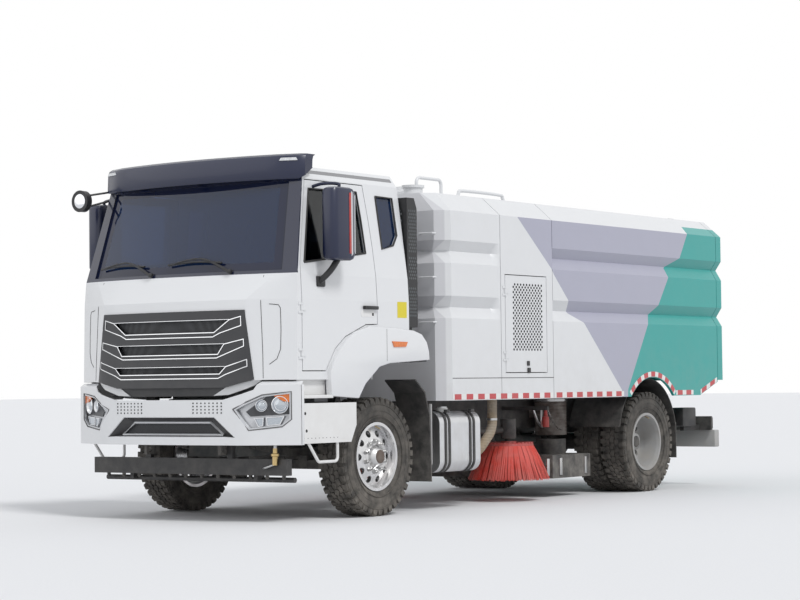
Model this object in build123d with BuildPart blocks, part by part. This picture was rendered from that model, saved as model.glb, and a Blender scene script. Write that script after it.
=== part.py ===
import os

from build123d import *

os.makedirs("parts", exist_ok=True)

# Street sweeper truck, millimetres. The front faces -Y, +X is the vehicle's left, +Z is up.
# The origin is on the ground, midway between the foremost and the rearmost piece.

# Driving dimensions
FRONT_OVERHANG = 1420.0
WHEELBASE = 4700.0
REAR_OVERHANG = 1600.0
OVERALL = FRONT_OVERHANG + WHEELBASE + REAR_OVERHANG
FA = -OVERALL / 2 + FRONT_OVERHANG   # front axle station
RA = FA + WHEELBASE                  # rear axle station
REAR_END = OVERALL / 2

SEAT = 0.3          # running gap between pieces that carry each other
GAP = 8.0           # gap between panels that move against each other

# Wheels
TYRE_R = 515.0
TYRE_W = 288.0
RIM_R = 298.0
FRONT_TRACK_HALF = 1035.0
TWIN_OUTER_X = 1045.0
TWIN_INNER_X = 729.0
KINGPIN_X = 830.0
HUB_R = 140.0

# Chassis rails
RAIL_X = 430.0
RAIL_TOP = 950.0
RAIL_DEPTH = 270.0
RAIL_FLANGE = 80.0
RAIL_WALL = 10.0
RAIL_FRONT = FA - 1150.0
RAIL_REAR = RA + 1200.0

# Body work, all in three sections
BODY_HALF = 1250.0
BODY_FRONT = FA + 920.0
SEAM_1 = FA + 1842.0
SEAM_2 = FA + 2757.0
HOPPER_REAR = RA + 1430.0
TAILGATE_T = 110.0
TAIL_FACE = HOPPER_REAR + GAP + TAILGATE_T
BODY_LOW = 985.0
BODY_HIGH = 2880.0
ROOF_BEVEL = 200.0
GROOVE = 66.0
CORNER_BEVEL = 110.0
SKIN = 60.0
HOPPER_FLOOR = 1240.0
SKIRT = 30.0         # thickness of the skirts beside the wheels
TIP_Y = RA + 1100.0
TIP_Z = 985.0
TAIL_PIN_Z = BODY_HIGH + 34.0

# Cab
CAB_BACK = FA + 430.0
CAB_LOW = 1185.0
CAB_FLOOR = 1360.0
CAB_ROOF = 2985.0
CAB_WALL = 60.0
TILT_Y = FA - 1285.0
TILT_Z = 1120.0
DOOR_HINGE_X = 1207.0
DOOR_HINGE_Y = FA - 1094.0


# Helpers
def keep(piece, name):
    piece.part.label = name
    export_step(piece.part, "parts/" + name + ".step")


def block(x0, x1, y0, y1, z0, z1, mode=Mode.ADD):
    x0, x1 = sorted((x0, x1))
    with Locations(((x0 + x1) / 2, (y0 + y1) / 2, (z0 + z1) / 2)):
        Box(x1 - x0, y1 - y0, z1 - z0, mode=mode)


def rod_x(x0, x1, y, z, radius, mode=Mode.ADD):
    x0, x1 = sorted((x0, x1))
    with Locations(Location(((x0 + x1) / 2, y, z), (0, 90, 0))):
        Cylinder(radius, x1 - x0, mode=mode)


def rod_y(x, y0, y1, z, radius, mode=Mode.ADD):
    with Locations(Location((x, (y0 + y1) / 2, z), (90, 0, 0))):
        Cylinder(radius, y1 - y0, mode=mode)


def rod_z(x, y, z0, z1, radius, mode=Mode.ADD):
    with Locations((x, y, (z0 + z1) / 2)):
        Cylinder(radius, z1 - z0, mode=mode)


def prism_x(points, x0, x1, mode=Mode.ADD):
    x0, x1 = sorted((x0, x1))
    with BuildSketch(Plane.YZ.offset(x0)) as outline:
        with BuildLine():
            Polyline(*points, close=True)
        make_face()
    extrude(outline.sketch, amount=x1 - x0, mode=mode)


def prism_y(points, y0, y1, mode=Mode.ADD):
    with BuildSketch(Plane.XZ.offset(-y1)) as outline:
        with BuildLine():
            Polyline(*points, close=True)
        make_face()
    extrude(outline.sketch, amount=y1 - y0, mode=mode)


def prism_z(points, z0, z1, mode=Mode.ADD):
    with BuildSketch(Plane.XY.offset(z0)) as outline:
        with BuildLine():
            Polyline(*points, close=True)
        make_face()
    extrude(outline.sketch, amount=z1 - z0, mode=mode)


def bar(start, end, radius, mode=Mode.ADD):
    a, b = Vector(*start), Vector(*end)
    with BuildSketch(Plane(origin=a, z_dir=b - a)) as section:
        Circle(radius)
    extrude(section.sketch, amount=(b - a).length, mode=mode)


def tube_path(points, radii, radius):
    with BuildLine() as path:
        FilletPolyline(*points, radius=radii)
    start = path.line @ 0
    with BuildSketch(Plane(origin=start, z_dir=path.line % 0)) as section:
        Circle(radius)
    sweep(section.sketch, path=path.line)


def mirrored_x(points):
    return [(-x, z) for x, z in points]


def at_axle(axle, points):
    return [(axle + y, z) for y, z in points]


# Chassis frame: two channel rails, cross members, tilt brackets, cab rests and the tipping hinge
RAIL_LOW = RAIL_TOP - RAIL_DEPTH
TOW_Y, TOW_Z, TOW_R, TOW_T = FA - 1190.0, 600.0, 22.0, 30.0
# station from the front axle, bottom, top, half depth
CROSS_MEMBERS = [
    (-1110, 700, 930, 40),
    (1180, 780, 930, 50),
    (2250, 780, 930, 50),
    (3400, 780, 930, 50),
    (5250, 780, 930, 50),
    (5860, 720, 930, 40),
]
LIFT_FOOT_Y = RA - 100.0
LIFT_FOOT_Z = 850.0
SUBFRAME_TOP = BODY_LOW - 5.0
with BuildPart() as chassis_frame:
    for side in (1, -1):
        web = side * RAIL_X
        lip = side * (RAIL_X - RAIL_FLANGE)
        inner = side * (RAIL_X - RAIL_WALL)
        channel = [
            (web, RAIL_LOW), (lip, RAIL_LOW), (lip, RAIL_LOW + RAIL_WALL), (inner, RAIL_LOW + RAIL_WALL),
            (inner, RAIL_TOP - RAIL_WALL), (lip, RAIL_TOP - RAIL_WALL), (lip, RAIL_TOP), (web, RAIL_TOP),
        ]
        prism_y(channel, RAIL_FRONT, RAIL_REAR)
    # Sub-frame runners under the body
    for side in (1, -1):
        x = side * (RAIL_X - 40)
        block(x - 40, x + 40, BODY_FRONT + 60, TIP_Y - 120, RAIL_TOP, SUBFRAME_TOP)
    # Tilt brackets with their pins, and the rests at the back of the cab
    for side in (1, -1):
        x = side * (RAIL_X - 5)
        block(x - 50, x + 50, RAIL_FRONT, RAIL_FRONT + 60, RAIL_TOP, TILT_Z - 40)
        prism_x([(RAIL_FRONT, TILT_Z - 70), (RAIL_FRONT + 60, TILT_Z - 70), (TILT_Y + 30, TILT_Z + 25),
                 (TILT_Y - 30, TILT_Z + 25), (TILT_Y - 30, TILT_Z - 30)], x - 50, x - 38)
        prism_x([(RAIL_FRONT, TILT_Z - 70), (RAIL_FRONT + 60, TILT_Z - 70), (TILT_Y + 30, TILT_Z + 25),
                 (TILT_Y - 30, TILT_Z + 25), (TILT_Y - 30, TILT_Z - 30)], x + 38, x + 50)
        rod_x(x - 50, x + 50, TILT_Y, TILT_Z, 15)
        block(x - 45, x + 45, CAB_BACK - 120, CAB_BACK - 50, RAIL_TOP, CAB_LOW - GAP)
    # Tow eyes at the front ends of the rails, each with a cross bore
    for side in (1, -1):
        x = side * (RAIL_X - TOW_T / 2)
        block(x - TOW_T / 2, x + TOW_T / 2, TOW_Y - 40, RAIL_FRONT + 40, TOW_Z - 40, TOW_Z + 40)
        block(x - TOW_T / 2, x + TOW_T / 2, RAIL_FRONT, RAIL_FRONT + 40, TOW_Z, RAIL_LOW + 5)
        rod_x(x - TOW_T, x + TOW_T, TOW_Y, TOW_Z, TOW_R, mode=Mode.SUBTRACT)
    # Tipping hinge: ears on the rails with a pin through each pair
    for side in (1, -1):
        for x in (side * 365, side * 425):
            block(x - 8, x + 8, TIP_Y - 50, TIP_Y + 40, RAIL_TOP - 20, TIP_Z + 28)
        rod_x(side * 395 - 38, side * 395 + 38, TIP_Y, TIP_Z, 18)
keep(chassis_frame, "chassis_frame")

# Cross members between the webs of the rails, and the foot of the lift cylinder:
# a cross tube with two ears and its pin
with BuildPart() as cross_members:
    reach = RAIL_X - RAIL_WALL - SEAT
    for station, low, high, half in CROSS_MEMBERS:
        block(-reach, reach, FA + station - half, FA + station + half, low, high)
    rod_x(-reach, reach, LIFT_FOOT_Y, LIFT_FOOT_Z - 95, 35)
    for side in (1, -1):
        x = side * 62
        block(x - 10, x + 10, LIFT_FOOT_Y - 45, LIFT_FOOT_Y + 45, LIFT_FOOT_Z - 90, LIFT_FOOT_Z + 40)
    rod_x(-72, 72, LIFT_FOOT_Y, LIFT_FOOT_Z, 22)
keep(cross_members, "cross_members")

# Front axle: dropped beam, kingpin ends, spring seats and leaf springs
KING_LOW, KING_HIGH = 440.0, 590.0
SPRING_X = RAIL_X - 40
with BuildPart() as front_axle:
    prism_y([(-KINGPIN_X, 550), (-KINGPIN_X, 480), (-760, 480), (-560, 400), (560, 400), (760, 480),
             (KINGPIN_X, 480), (KINGPIN_X, 550), (760, 550), (560, 480), (-560, 480), (-760, 550)],
            FA - 50, FA + 50)
    for side in (1, -1):
        rod_z(side * KINGPIN_X, FA, 470, 560, 45)
        rod_z(side * KINGPIN_X, FA, KING_LOW, KING_HIGH, 22)
        block(side * SPRING_X - 45, side * SPRING_X + 45, FA - 70, FA + 70, 470, 520)
        prism_x([(FA - 760, 600), (FA - 300, 520), (FA + 300, 520), (FA + 760, 600), (FA + 760, RAIL_LOW),
                 (FA + 700, RAIL_LOW), (FA + 300, 590), (FA - 300, 590), (FA - 700, RAIL_LOW),
                 (FA - 760, RAIL_LOW)], side * SPRING_X - 38, side * SPRING_X + 38)
keep(front_axle, "front_axle")

# Rear axle: housing with its differential, spring seats and leaf springs
with BuildPart() as rear_axle:
    rod_x(-560, 560, RA, TYRE_R, 85)
    rod_x(-1000, 1000, RA, TYRE_R, 60)
    with Locations((0, RA, TYRE_R)):
        Sphere(195)
    rod_y(0, RA - 260, RA, TYRE_R, 110)
    for side in (1, -1):
        block(side * SPRING_X - 45, side * SPRING_X + 45, RA - 75, RA + 75, 570, 612)
        prism_x([(RA - 760, 640), (RA - 300, 612), (RA + 300, 612), (RA + 760, 640), (RA + 760, RAIL_LOW),
                 (RA - 760, RAIL_LOW)], side * SPRING_X - 38, side * SPRING_X + 38)
keep(rear_axle, "rear_axle")

# Engine, gearbox and drive shaft
with BuildPart() as power_unit:
    block(-270, 270, FA - 830, FA + 260, 530, 1240)
    block(-340, 340, FA - 960, FA - 880, 640, 1180)
    block(-200, 200, FA - 880, FA - 830, 700, 1100)
    block(-300, 300, FA + 260, FA + 340, 560, 980)
    block(-190, 190, FA + 340, FA + 1100, 560, 900)
    bar((0, FA + 1100, 700), (0, RA - 250, 530), 48)
    add(rear_axle.part, mode=Mode.SUBTRACT)
    # engine feet on the rails
    for y in (FA - 500, FA + 100):
        for side in (1, -1):
            block(side * 260, side * (RAIL_X - RAIL_WALL), y - 40, y + 40, 800, 850)
keep(power_unit, "power_unit")


# Wheels: a tyre and a rim are turned about the axle line
def turned(points, centre_x, axle_y, mode=Mode.ADD):
    with BuildSketch(Plane(origin=(centre_x, axle_y, TYRE_R), x_dir=(1, 0, 0), z_dir=(0, -1, 0))) as outline:
        with BuildLine():
            Polyline(*points, close=True)
        make_face()
    revolve(outline.sketch, axis=Axis((centre_x, axle_y, TYRE_R), (1, 0, 0)), mode=mode)


def tyre_profile(out):
    half = TYRE_W / 2
    return [
        (-out * (half - 34), RIM_R), (-out * (half - 8), RIM_R + 60), (-out * half, RIM_R + 120),
        (-out * (half - 8), TYRE_R - 40), (-out * (half - 26), TYRE_R - 12), (-out * (half - 60), TYRE_R),
        (out * (half - 60), TYRE_R), (out * (half - 26), TYRE_R - 12), (out * (half - 8), TYRE_R - 40),
        (out * half, RIM_R + 120), (out * (half - 8), RIM_R + 60), (out * (half - 34), RIM_R),
    ]


HAND_HOLES = 10
HAND_HOLE_R = 30.0
HAND_HOLE_PCD = 205.0
RIM_WALL = 16.0
# a rim seen outwards from its mid plane: the disc sits at this offset
FRONT_DISC = 62.0
TWIN_DISC = 150.0


def barrel_profile():
    half = TYRE_W / 2 - 22
    return [
        (-half, RIM_R), (-half, RIM_R - 26), (-half + 40, RIM_R - 40), (half - 40, RIM_R - 40),
        (half, RIM_R - 26), (half, RIM_R), (half - 30, RIM_R - SEAT), (-half + 30, RIM_R - SEAT),
    ]


for side_name, side in (("left", 1), ("right", -1)):
    centre = side * FRONT_TRACK_HALF
    with BuildPart() as front_tyre:
        turned(tyre_profile(side), centre, FA)
    keep(front_tyre, "tyre_front_" + side_name)

    with BuildPart() as front_rim:
        turned(barrel_profile(), centre, FA)
        disc = side * FRONT_DISC
        turned([(disc - side * 26, 95), (disc + side * 26, 95), (disc + side * 26, 165), (disc, 240),
                (disc - side * 20, RIM_R - 30), (disc - side * 40, RIM_R - 30), (disc - side * 20, 229),
                (disc, 160), (disc - side * 26, 160)], centre, FA)
        # hand holes
        with Locations(Plane(origin=(centre + disc, FA, TYRE_R), x_dir=(0, 1, 0), z_dir=(1, 0, 0))):
            with PolarLocations(HAND_HOLE_PCD, HAND_HOLES):
                Cylinder(HAND_HOLE_R, 160, mode=Mode.SUBTRACT)
        # hub with its cap
        turned([(disc - side * 150, 60), (disc + side * 60, 60), (disc + side * 75, 0),
                (disc + side * 90, 0), (disc + side * 90, 62), (disc + side * 60, 84),
                (disc + side * 26, 98), (disc - side * 150, 98)], centre, FA)
    keep(front_rim, "rim_front_" + side_name)

    with BuildPart() as twin_tyres:
        for x in (TWIN_OUTER_X, TWIN_INNER_X):
            turned(tyre_profile(side), side * x, RA)
    keep(twin_tyres, "tyre_rear_" + side_name)

    with BuildPart() as twin_rims:
        for x in (TWIN_OUTER_X, TWIN_INNER_X):
            turned(barrel_profile(), side * x, RA)
        # the two discs dish inwards and bolt together at the joint between the wheels
        joint = side * (TWIN_OUTER_X + TWIN_INNER_X) / 2
        turned([(-16, 80), (16, 80), (16, 166), (60, 243), (125, RIM_R - 30), (107, RIM_R - 30), (44, 247),
                (0, 181), (-44, 247), (-107, RIM_R - 30), (-125, RIM_R - 30), (-60, 243), (-16, 166)],
               joint, RA)
        with Locations(Plane(origin=(joint, RA, TYRE_R), x_dir=(0, 1, 0), z_dir=(1, 0, 0))):
            with PolarLocations(HAND_HOLE_PCD, HAND_HOLES):
                Cylinder(HAND_HOLE_R, 110, mode=Mode.SUBTRACT)
        # drum and hub run on the axle end
        turned([(-side * 190, 60 + SEAT), (side * 120, 60 + SEAT), (side * 130, 0), (side * 150, 0),
                (side * 150, 84), (side * 34, 104), (-side * 190, 104)], joint, RA)
    keep(twin_rims, "rim_rear_" + side_name)

    # Steering knuckle: fork round the kingpin boss, and the spindle that the hub turns on
    with BuildPart() as knuckle:
        king = side * KINGPIN_X
        inner_face = side * (FRONT_TRACK_HALF + FRONT_DISC - 150 - 2)
        for low, high in ((KING_LOW - 4, 470 - SEAT * 3), (560 + SEAT * 3, KING_HIGH + 4)):
            rod_z(king, FA, low, high, 44)
            rod_z(king, FA, low - 1, high + 1, 22 + SEAT, mode=Mode.SUBTRACT)
            block(min(king + side * 30, inner_face), max(king + side * 30, inner_face),
                  FA - 40, FA + 40, low, high)
        rod_x(min(inner_face - side * 34, inner_face), max(inner_face - side * 34, inner_face), FA, TYRE_R, 92)
        spindle_end = centre + side * (FRONT_DISC + 50)
        rod_x(min(inner_face, spindle_end), max(inner_face, spindle_end), FA, TYRE_R, 60 - SEAT)
        block(king - 20, king + 20, FA + 40, FA + 190, KING_LOW - 4, KING_LOW + 22)
    keep(knuckle, "knuckle_" + side_name)


# Hinges with a vertical pin: the fixed half carries the pin, the moving half has the middle ring
PIN_R = 7.0
RING_R = 14.0


def hinge_fixed(x, y, z, out):
    rod_z(x, y, z - 24, z + 24, RING_R + 3, mode=Mode.SUBTRACT)
    rod_z(x, y, z - 45, z + 45, PIN_R)
    for low, high in ((z - 45, z - 24), (z + 24, z + 45)):
        rod_z(x, y, low, high, RING_R)
        block(min(x - out * 12, x + out * 5), max(x - out * 12, x + out * 5), y - 45, y, low, high)


def hinge_moving(x, y, z, out):
    rod_z(x, y, z - 47, z + 47, RING_R + 3, mode=Mode.SUBTRACT)
    block(min(x - out * 12, x + out * 5), max(x - out * 12, x + out * 5), y, y + 50, z - 22, z + 22)
    rod_z(x, y, z - 22, z + 22, RING_R)
    rod_z(x, y, z - 23, z + 23, PIN_R + SEAT, mode=Mode.SUBTRACT)


# Body sections: plan outlines lofted over levels
# height, side inset, inset at the section's ends, front inset
BODY_LEVELS = [
    (BODY_LOW, 0, 0, 0),
    (1729, 0, 0, 0),
    (1832, GROOVE, 0, GROOVE),
    (1932, 0, 0, 0),
    (2230, 0, 0, 0),
    (2342, GROOVE, 0, GROOVE),
    (2437, 0, 0, 0),
    (2706, 0, 0, 0),
    (BODY_HIGH, ROOF_BEVEL, ROOF_BEVEL, 60),
]
RUN_OUT = 80.0
SEAM_TURN = 0.5      # the sheet turns in this much at a seam


def body_ring(height, points):
    both = points + [(-x, y) for x, y in reversed(points)]
    with BuildSketch(Plane.XY.offset(height)) as ring:
        with BuildLine():
            Polyline(*both, close=True)
        make_face()
    return ring.sketch


# Section 1, the clean water tank, closed
rings = []
for height, side_in, end_in, front_in in BODY_LEVELS:
    x = BODY_HALF - side_in
    nose = BODY_FRONT + front_in
    rear = SEAM_1 - GAP / 2
    rings.append(body_ring(height, [
        (x - CORNER_BEVEL, nose), (x, nose + CORNER_BEVEL), (x, rear - RUN_OUT), (BODY_HALF - end_in - SEAM_TURN, rear),
    ]))
HATCH_X, HATCH_Y, HATCH_R = 780.0, FA + 1110.0, 105.0
with BuildPart() as water_tank:
    loft(rings, ruled=True)
    rod_z(HATCH_X, HATCH_Y, BODY_HIGH - 10, BODY_HIGH + 60, HATCH_R - 15)
    rod_z(HATCH_X, HATCH_Y, BODY_HIGH + 60, BODY_HIGH + 84, HATCH_R)
    # skids that stand on the sub-frame
    for side in (1, -1):
        x = side * (RAIL_X - 40)
        block(x - 40, x + 40, BODY_FRONT + 80, SEAM_1 - 60, SUBFRAME_TOP, BODY_LOW + 5)
keep(water_tank, "water_tank")

# Section 2, the engine room, hollow, with a doorway on each side
DOOR_FRONT, DOOR_REAR = FA + 1920.0, FA + 2638.0
DOOR_LOW, DOOR_HIGH = 1239.0, 2150.0
ROOM_DOOR_T = 50.0
room_front, room_rear = SEAM_1 + GAP / 2, SEAM_2 - GAP / 2
with BuildPart() as engine_room:
    rings = []
    for height, inset in ((BODY_LOW, 0), (2706, 0), (BODY_HIGH, ROOF_BEVEL)):
        rings.append(body_ring(height, [(BODY_HALF - inset, room_front), (BODY_HALF - inset, room_rear)]))
    loft(rings, ruled=True)
    wide = BODY_HALF - SKIN
    prism_y([(-wide, BODY_LOW + SKIN), (wide, BODY_LOW + SKIN), (wide, 2680), (wide - 180, BODY_HIGH - SKIN),
             (-wide + 180, BODY_HIGH - SKIN), (-wide, 2680)], room_front + 40, room_rear - 40,
            mode=Mode.SUBTRACT)
    block(-BODY_HALF - 5, BODY_HALF + 5, DOOR_FRONT - GAP, DOOR_REAR + GAP, DOOR_LOW - GAP, DOOR_HIGH + GAP,
          mode=Mode.SUBTRACT)
    # stop strips behind the rear edge of each door
    for side in (1, -1):
        x = side * (BODY_HALF - ROOM_DOOR_T - 14)
        block(x - 5, x + 5, DOOR_REAR - 14, DOOR_REAR + GAP + 2, DOOR_LOW - GAP - 2, DOOR_HIGH + GAP + 2)
    for side in (1, -1):
        x = side * (RAIL_X - 40)
        block(x - 40, x + 40, room_front + 20, room_rear - 20, SUBFRAME_TOP, BODY_LOW + 5)
    for side in (1, -1):
        for z in (DOOR_LOW + 150, DOOR_HIGH - 150):
            hinge_fixed(side * (BODY_HALF + 2), DOOR_FRONT - GAP / 2, z, side)
keep(engine_room, "engine_room")

# Auxiliary engine with the fan above it, a plain block on its feet
with BuildPart() as aux_engine:
    block(-850, 850, SEAM_1 + 120, SEAM_2 - 130, BODY_LOW + SKIN + 60, 1750)
    for x in (-700, 700):
        block(x - 50, x + 50, SEAM_1 + 160, SEAM_2 - 170, BODY_LOW + SKIN, BODY_LOW + SKIN + 60)
    rod_x(-700, -200, SEAM_1 + 450, 2120, 340)
    block(-500, -400, SEAM_1 + 300, SEAM_1 + 600, 1750, 1850)
keep(aux_engine, "aux_engine")

for side_name, side in (("left", 1), ("right", -1)):
    with BuildPart() as service_door:
        skin_out = side * BODY_HALF
        skin_in = side * (BODY_HALF - ROOM_DOOR_T)
        block(min(skin_out, skin_in), max(skin_out, skin_in), DOOR_FRONT, DOOR_REAR, DOOR_LOW, DOOR_HIGH)
        for z in (DOOR_LOW + 150, DOOR_HIGH - 150):
            hinge_moving(side * (BODY_HALF + 2), DOOR_FRONT - GAP / 2, z, side)
    keep(service_door, "service_door_" + side_name)

# Section 3, the hopper: it tips back about the hinge on the rails
ARCH_R = 612.0
ARCH_Z = 570.0
EYE_Y, EYE_Z = FA + 3500.0, 1120.0
hopper_front = SEAM_2 + GAP / 2
with BuildPart() as hopper:
    rings = []
    for height, side_in, end_in, front_in in BODY_LEVELS:
        x = BODY_HALF - side_in
        rings.append(body_ring(height, [(x, hopper_front), (x, HOPPER_REAR)]))
    loft(rings, ruled=True)
    # load space, open to the rear
    wide = BODY_HALF - GROOVE - 34
    prism_y([(-wide, HOPPER_FLOOR), (wide, HOPPER_FLOOR), (wide, 2690), (wide - 150, BODY_HIGH - SKIN),
             (-wide + 150, BODY_HIGH - SKIN), (-wide, 2690)], hopper_front + SKIN, HOPPER_REAR + 5,
            mode=Mode.SUBTRACT)
    # open underside between the two skirts
    block(-BODY_HALF + SKIRT, BODY_HALF - SKIRT, hopper_front - 5, HOPPER_REAR + 5, BODY_LOW - 5,
          HOPPER_FLOOR - SKIN, mode=Mode.SUBTRACT)
    # rear wheel arches and the raised tail of the skirts
    rod_x(-BODY_HALF - 5, BODY_HALF + 5, RA, ARCH_Z, ARCH_R, mode=Mode.SUBTRACT)
    prism_x([(RA + 1023, BODY_LOW - 5), (RA + 1023, BODY_LOW), (HOPPER_REAR + 5, 1128),
             (HOPPER_REAR + 5, BODY_LOW - 5)], -BODY_HALF - 5, BODY_HALF + 5, mode=Mode.SUBTRACT)
    # runners over the sub-frame, hinge lugs and the lift eye's lugs
    for side in (1, -1):
        x = side * (RAIL_X - 40)
        block(x - 40, x + 40, hopper_front + 40, TIP_Y - 120, SUBFRAME_TOP + GAP, HOPPER_FLOOR - SKIN)
        lug = side * 395
        block(lug - 17, lug + 17, TIP_Y - 30, TIP_Y + 30, TIP_Z, HOPPER_FLOOR - SKIN)
        rod_x(lug - 17, lug + 17, TIP_Y, TIP_Z, 30)
        rod_x(lug - 18, lug + 18, TIP_Y, TIP_Z, 18 + SEAT, mode=Mode.SUBTRACT)
        ear = side * 64
        block(ear - 9, ear + 9, EYE_Y - 50, EYE_Y + 50, EYE_Z - 45, HOPPER_FLOOR - SKIN)
        rod_x(ear - 10, ear + 10, EYE_Y, EYE_Z, 24, mode=Mode.SUBTRACT)
    # hinge ears of the tailgate on the roof
    for side in (1, -1):
        for x in (side * 700 - 30, side * 700 + 30):
            block(x - 8, x + 8, HOPPER_REAR - 110, HOPPER_REAR, BODY_HIGH - 10, TAIL_PIN_Z + 18)
            rod_x(x - 8, x + 8, HOPPER_REAR, TAIL_PIN_Z, 18)
        rod_x(side * 700 - 38, side * 700 + 38, HOPPER_REAR, TAIL_PIN_Z, 11)
keep(hopper, "hopper")

# Tailgate, hung from the roof
profile_half = [(BODY_HALF - side_in, height) for height, side_in, end_in, front_in in BODY_LEVELS[1:]]
tail_low = 1145.0
tail_outline = [(BODY_HALF, tail_low)] + profile_half
tail_outline += [(-x, z) for x, z in reversed(tail_outline)]
RIBS = (-850.0, -430.0, 0.0, 430.0, 850.0)
with BuildPart() as tailgate:
    prism_y(tail_outline, HOPPER_REAR + GAP, TAIL_FACE)
    for x in RIBS:
        block(x - 35, x + 35, TAIL_FACE, TAIL_FACE + 36, tail_low + 60, BODY_HIGH - 120)
    for side in (1, -1):
        x = side * 700
        block(x - 20, x + 20, HOPPER_REAR, TAIL_FACE, BODY_HIGH - 5, TAIL_PIN_Z + 16)
        rod_x(x - 20, x + 20, HOPPER_REAR, TAIL_PIN_Z, 20)
        block(x - 21, x + 21, HOPPER_REAR - 25, HOPPER_REAR + GAP, BODY_HIGH - 20, BODY_HIGH + 8,
              mode=Mode.SUBTRACT)
        rod_x(x - 21, x + 21, HOPPER_REAR, TAIL_PIN_Z, 11 + SEAT, mode=Mode.SUBTRACT)
keep(tailgate, "tailgate")

# Lift cylinder between the chassis and the hopper floor
foot = Vector(0, LIFT_FOOT_Y, LIFT_FOOT_Z)
eye = Vector(0, EYE_Y, EYE_Z)
lift_len = (eye - foot).length
along = (eye - foot).normalized()
with BuildPart() as lift_barrel:
    bar(foot + along * 30, foot + along * (lift_len - 75), 50)
    bar(foot + along * 150, foot + along * (lift_len - 70), 32 + SEAT, mode=Mode.SUBTRACT)
    rod_x(-48, 48, LIFT_FOOT_Y, LIFT_FOOT_Z, 42)
    rod_x(-50, 50, LIFT_FOOT_Y, LIFT_FOOT_Z, 22 + SEAT, mode=Mode.SUBTRACT)
keep(lift_barrel, "lift_barrel")
with BuildPart() as lift_rod:
    bar(foot + along * 165, eye, 32)
    rod_x(-42, 42, EYE_Y, EYE_Z, 40)
    rod_x(-50, 50, EYE_Y, EYE_Z, 20)
keep(lift_rod, "lift_rod")


# Cab: plan outlines with a bowed nose, lofted over levels
# height, side, nose, brow x, brow y, corner y, stations from the front axle
CAB_LEVELS = [
    (CAB_LOW, 1205, -1405, 800, -1350, -1165),
    (1855, 1205, -1385, 800, -1325, -1150),
    (2063, 1194, -1290, 1000, -1193, -1140),
    (2880, 1085, -1045, 880, -990, -927),
    (CAB_ROOF, 1010, -960, 850, -905, -850),
]


def cab_solid(inset, low=None, high=None, mode=Mode.ADD):
    sections = []
    for height, side, nose, brow_x, brow_y, corner_y in CAB_LEVELS:
        if height == CAB_LOW and low is not None:
            height = low
        if height == CAB_ROOF and high is not None:
            height = high
            side, nose, brow_y, corner_y = side + 20, nose - 20, brow_y - 20, corner_y - 20
        back = CAB_BACK - inset
        right = [(side - inset, FA + corner_y + inset * 0.7), (side - inset, back)]
        brow = (brow_x - inset * 0.6, FA + brow_y + inset)
        with BuildSketch(Plane.XY.offset(height)) as section:
            with BuildLine():
                ThreePointArc((-brow[0], brow[1]), (0, FA + nose + inset), brow)
                Polyline(brow, right[0], right[1], (-right[1][0], right[1][1]), (-right[0][0], right[0][1]),
                         (-brow[0], brow[1]))
            make_face()
        sections.append(section.sketch)
    loft(sections, ruled=True, mode=mode)


with BuildPart() as cab_outer:
    cab_solid(0)
with BuildPart() as cab_door_inner:
    cab_solid(CAB_WALL)
with BuildPart() as cab_door_void:
    cab_solid(CAB_WALL + 6)
with BuildPart() as cab_glass_outer:
    cab_solid(16)
with BuildPart() as cab_glass_inner:
    cab_solid(22)

SCREEN = [(-1060, 2098), (1060, 2098), (985, 2850), (-985, 2850)]
DOOR_OUTLINE = at_axle(FA, [
    (-1085, 1262), (-775, 1262), (-648, 1445), (-502, 1550), (-210, 1656), (-45, 1662), (-45, 2300),
    (-60, 2560), (-90, 2862), (-890, 2862), (-1075, 2150), (-1085, 2063),
])
DOOR_WINDOW = at_axle(FA, [(-1025, 2160), (-150, 2271), (-165, 2560), (-185, 2800), (-855, 2790)])
QUARTER = at_axle(FA, [(84, 2779), (334, 2777), (342, 2447), (271, 2357), (97, 2314)])
ARCH_LINE = at_axle(FA, [(-354, 1033), (-266, 1143), (-62, 1288), (85, 1319), (690, 1337)])

with BuildPart() as door_cut:
    with BuildSketch(Plane.YZ) as gap_outline:
        with BuildLine():
            Polyline(*DOOR_OUTLINE, close=True)
        make_face()
        offset(amount=GAP, kind=Kind.INTERSECTION)
    extrude(gap_outline.sketch, amount=1400, both=True)
    add(cab_door_void.part, mode=Mode.SUBTRACT)

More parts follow.
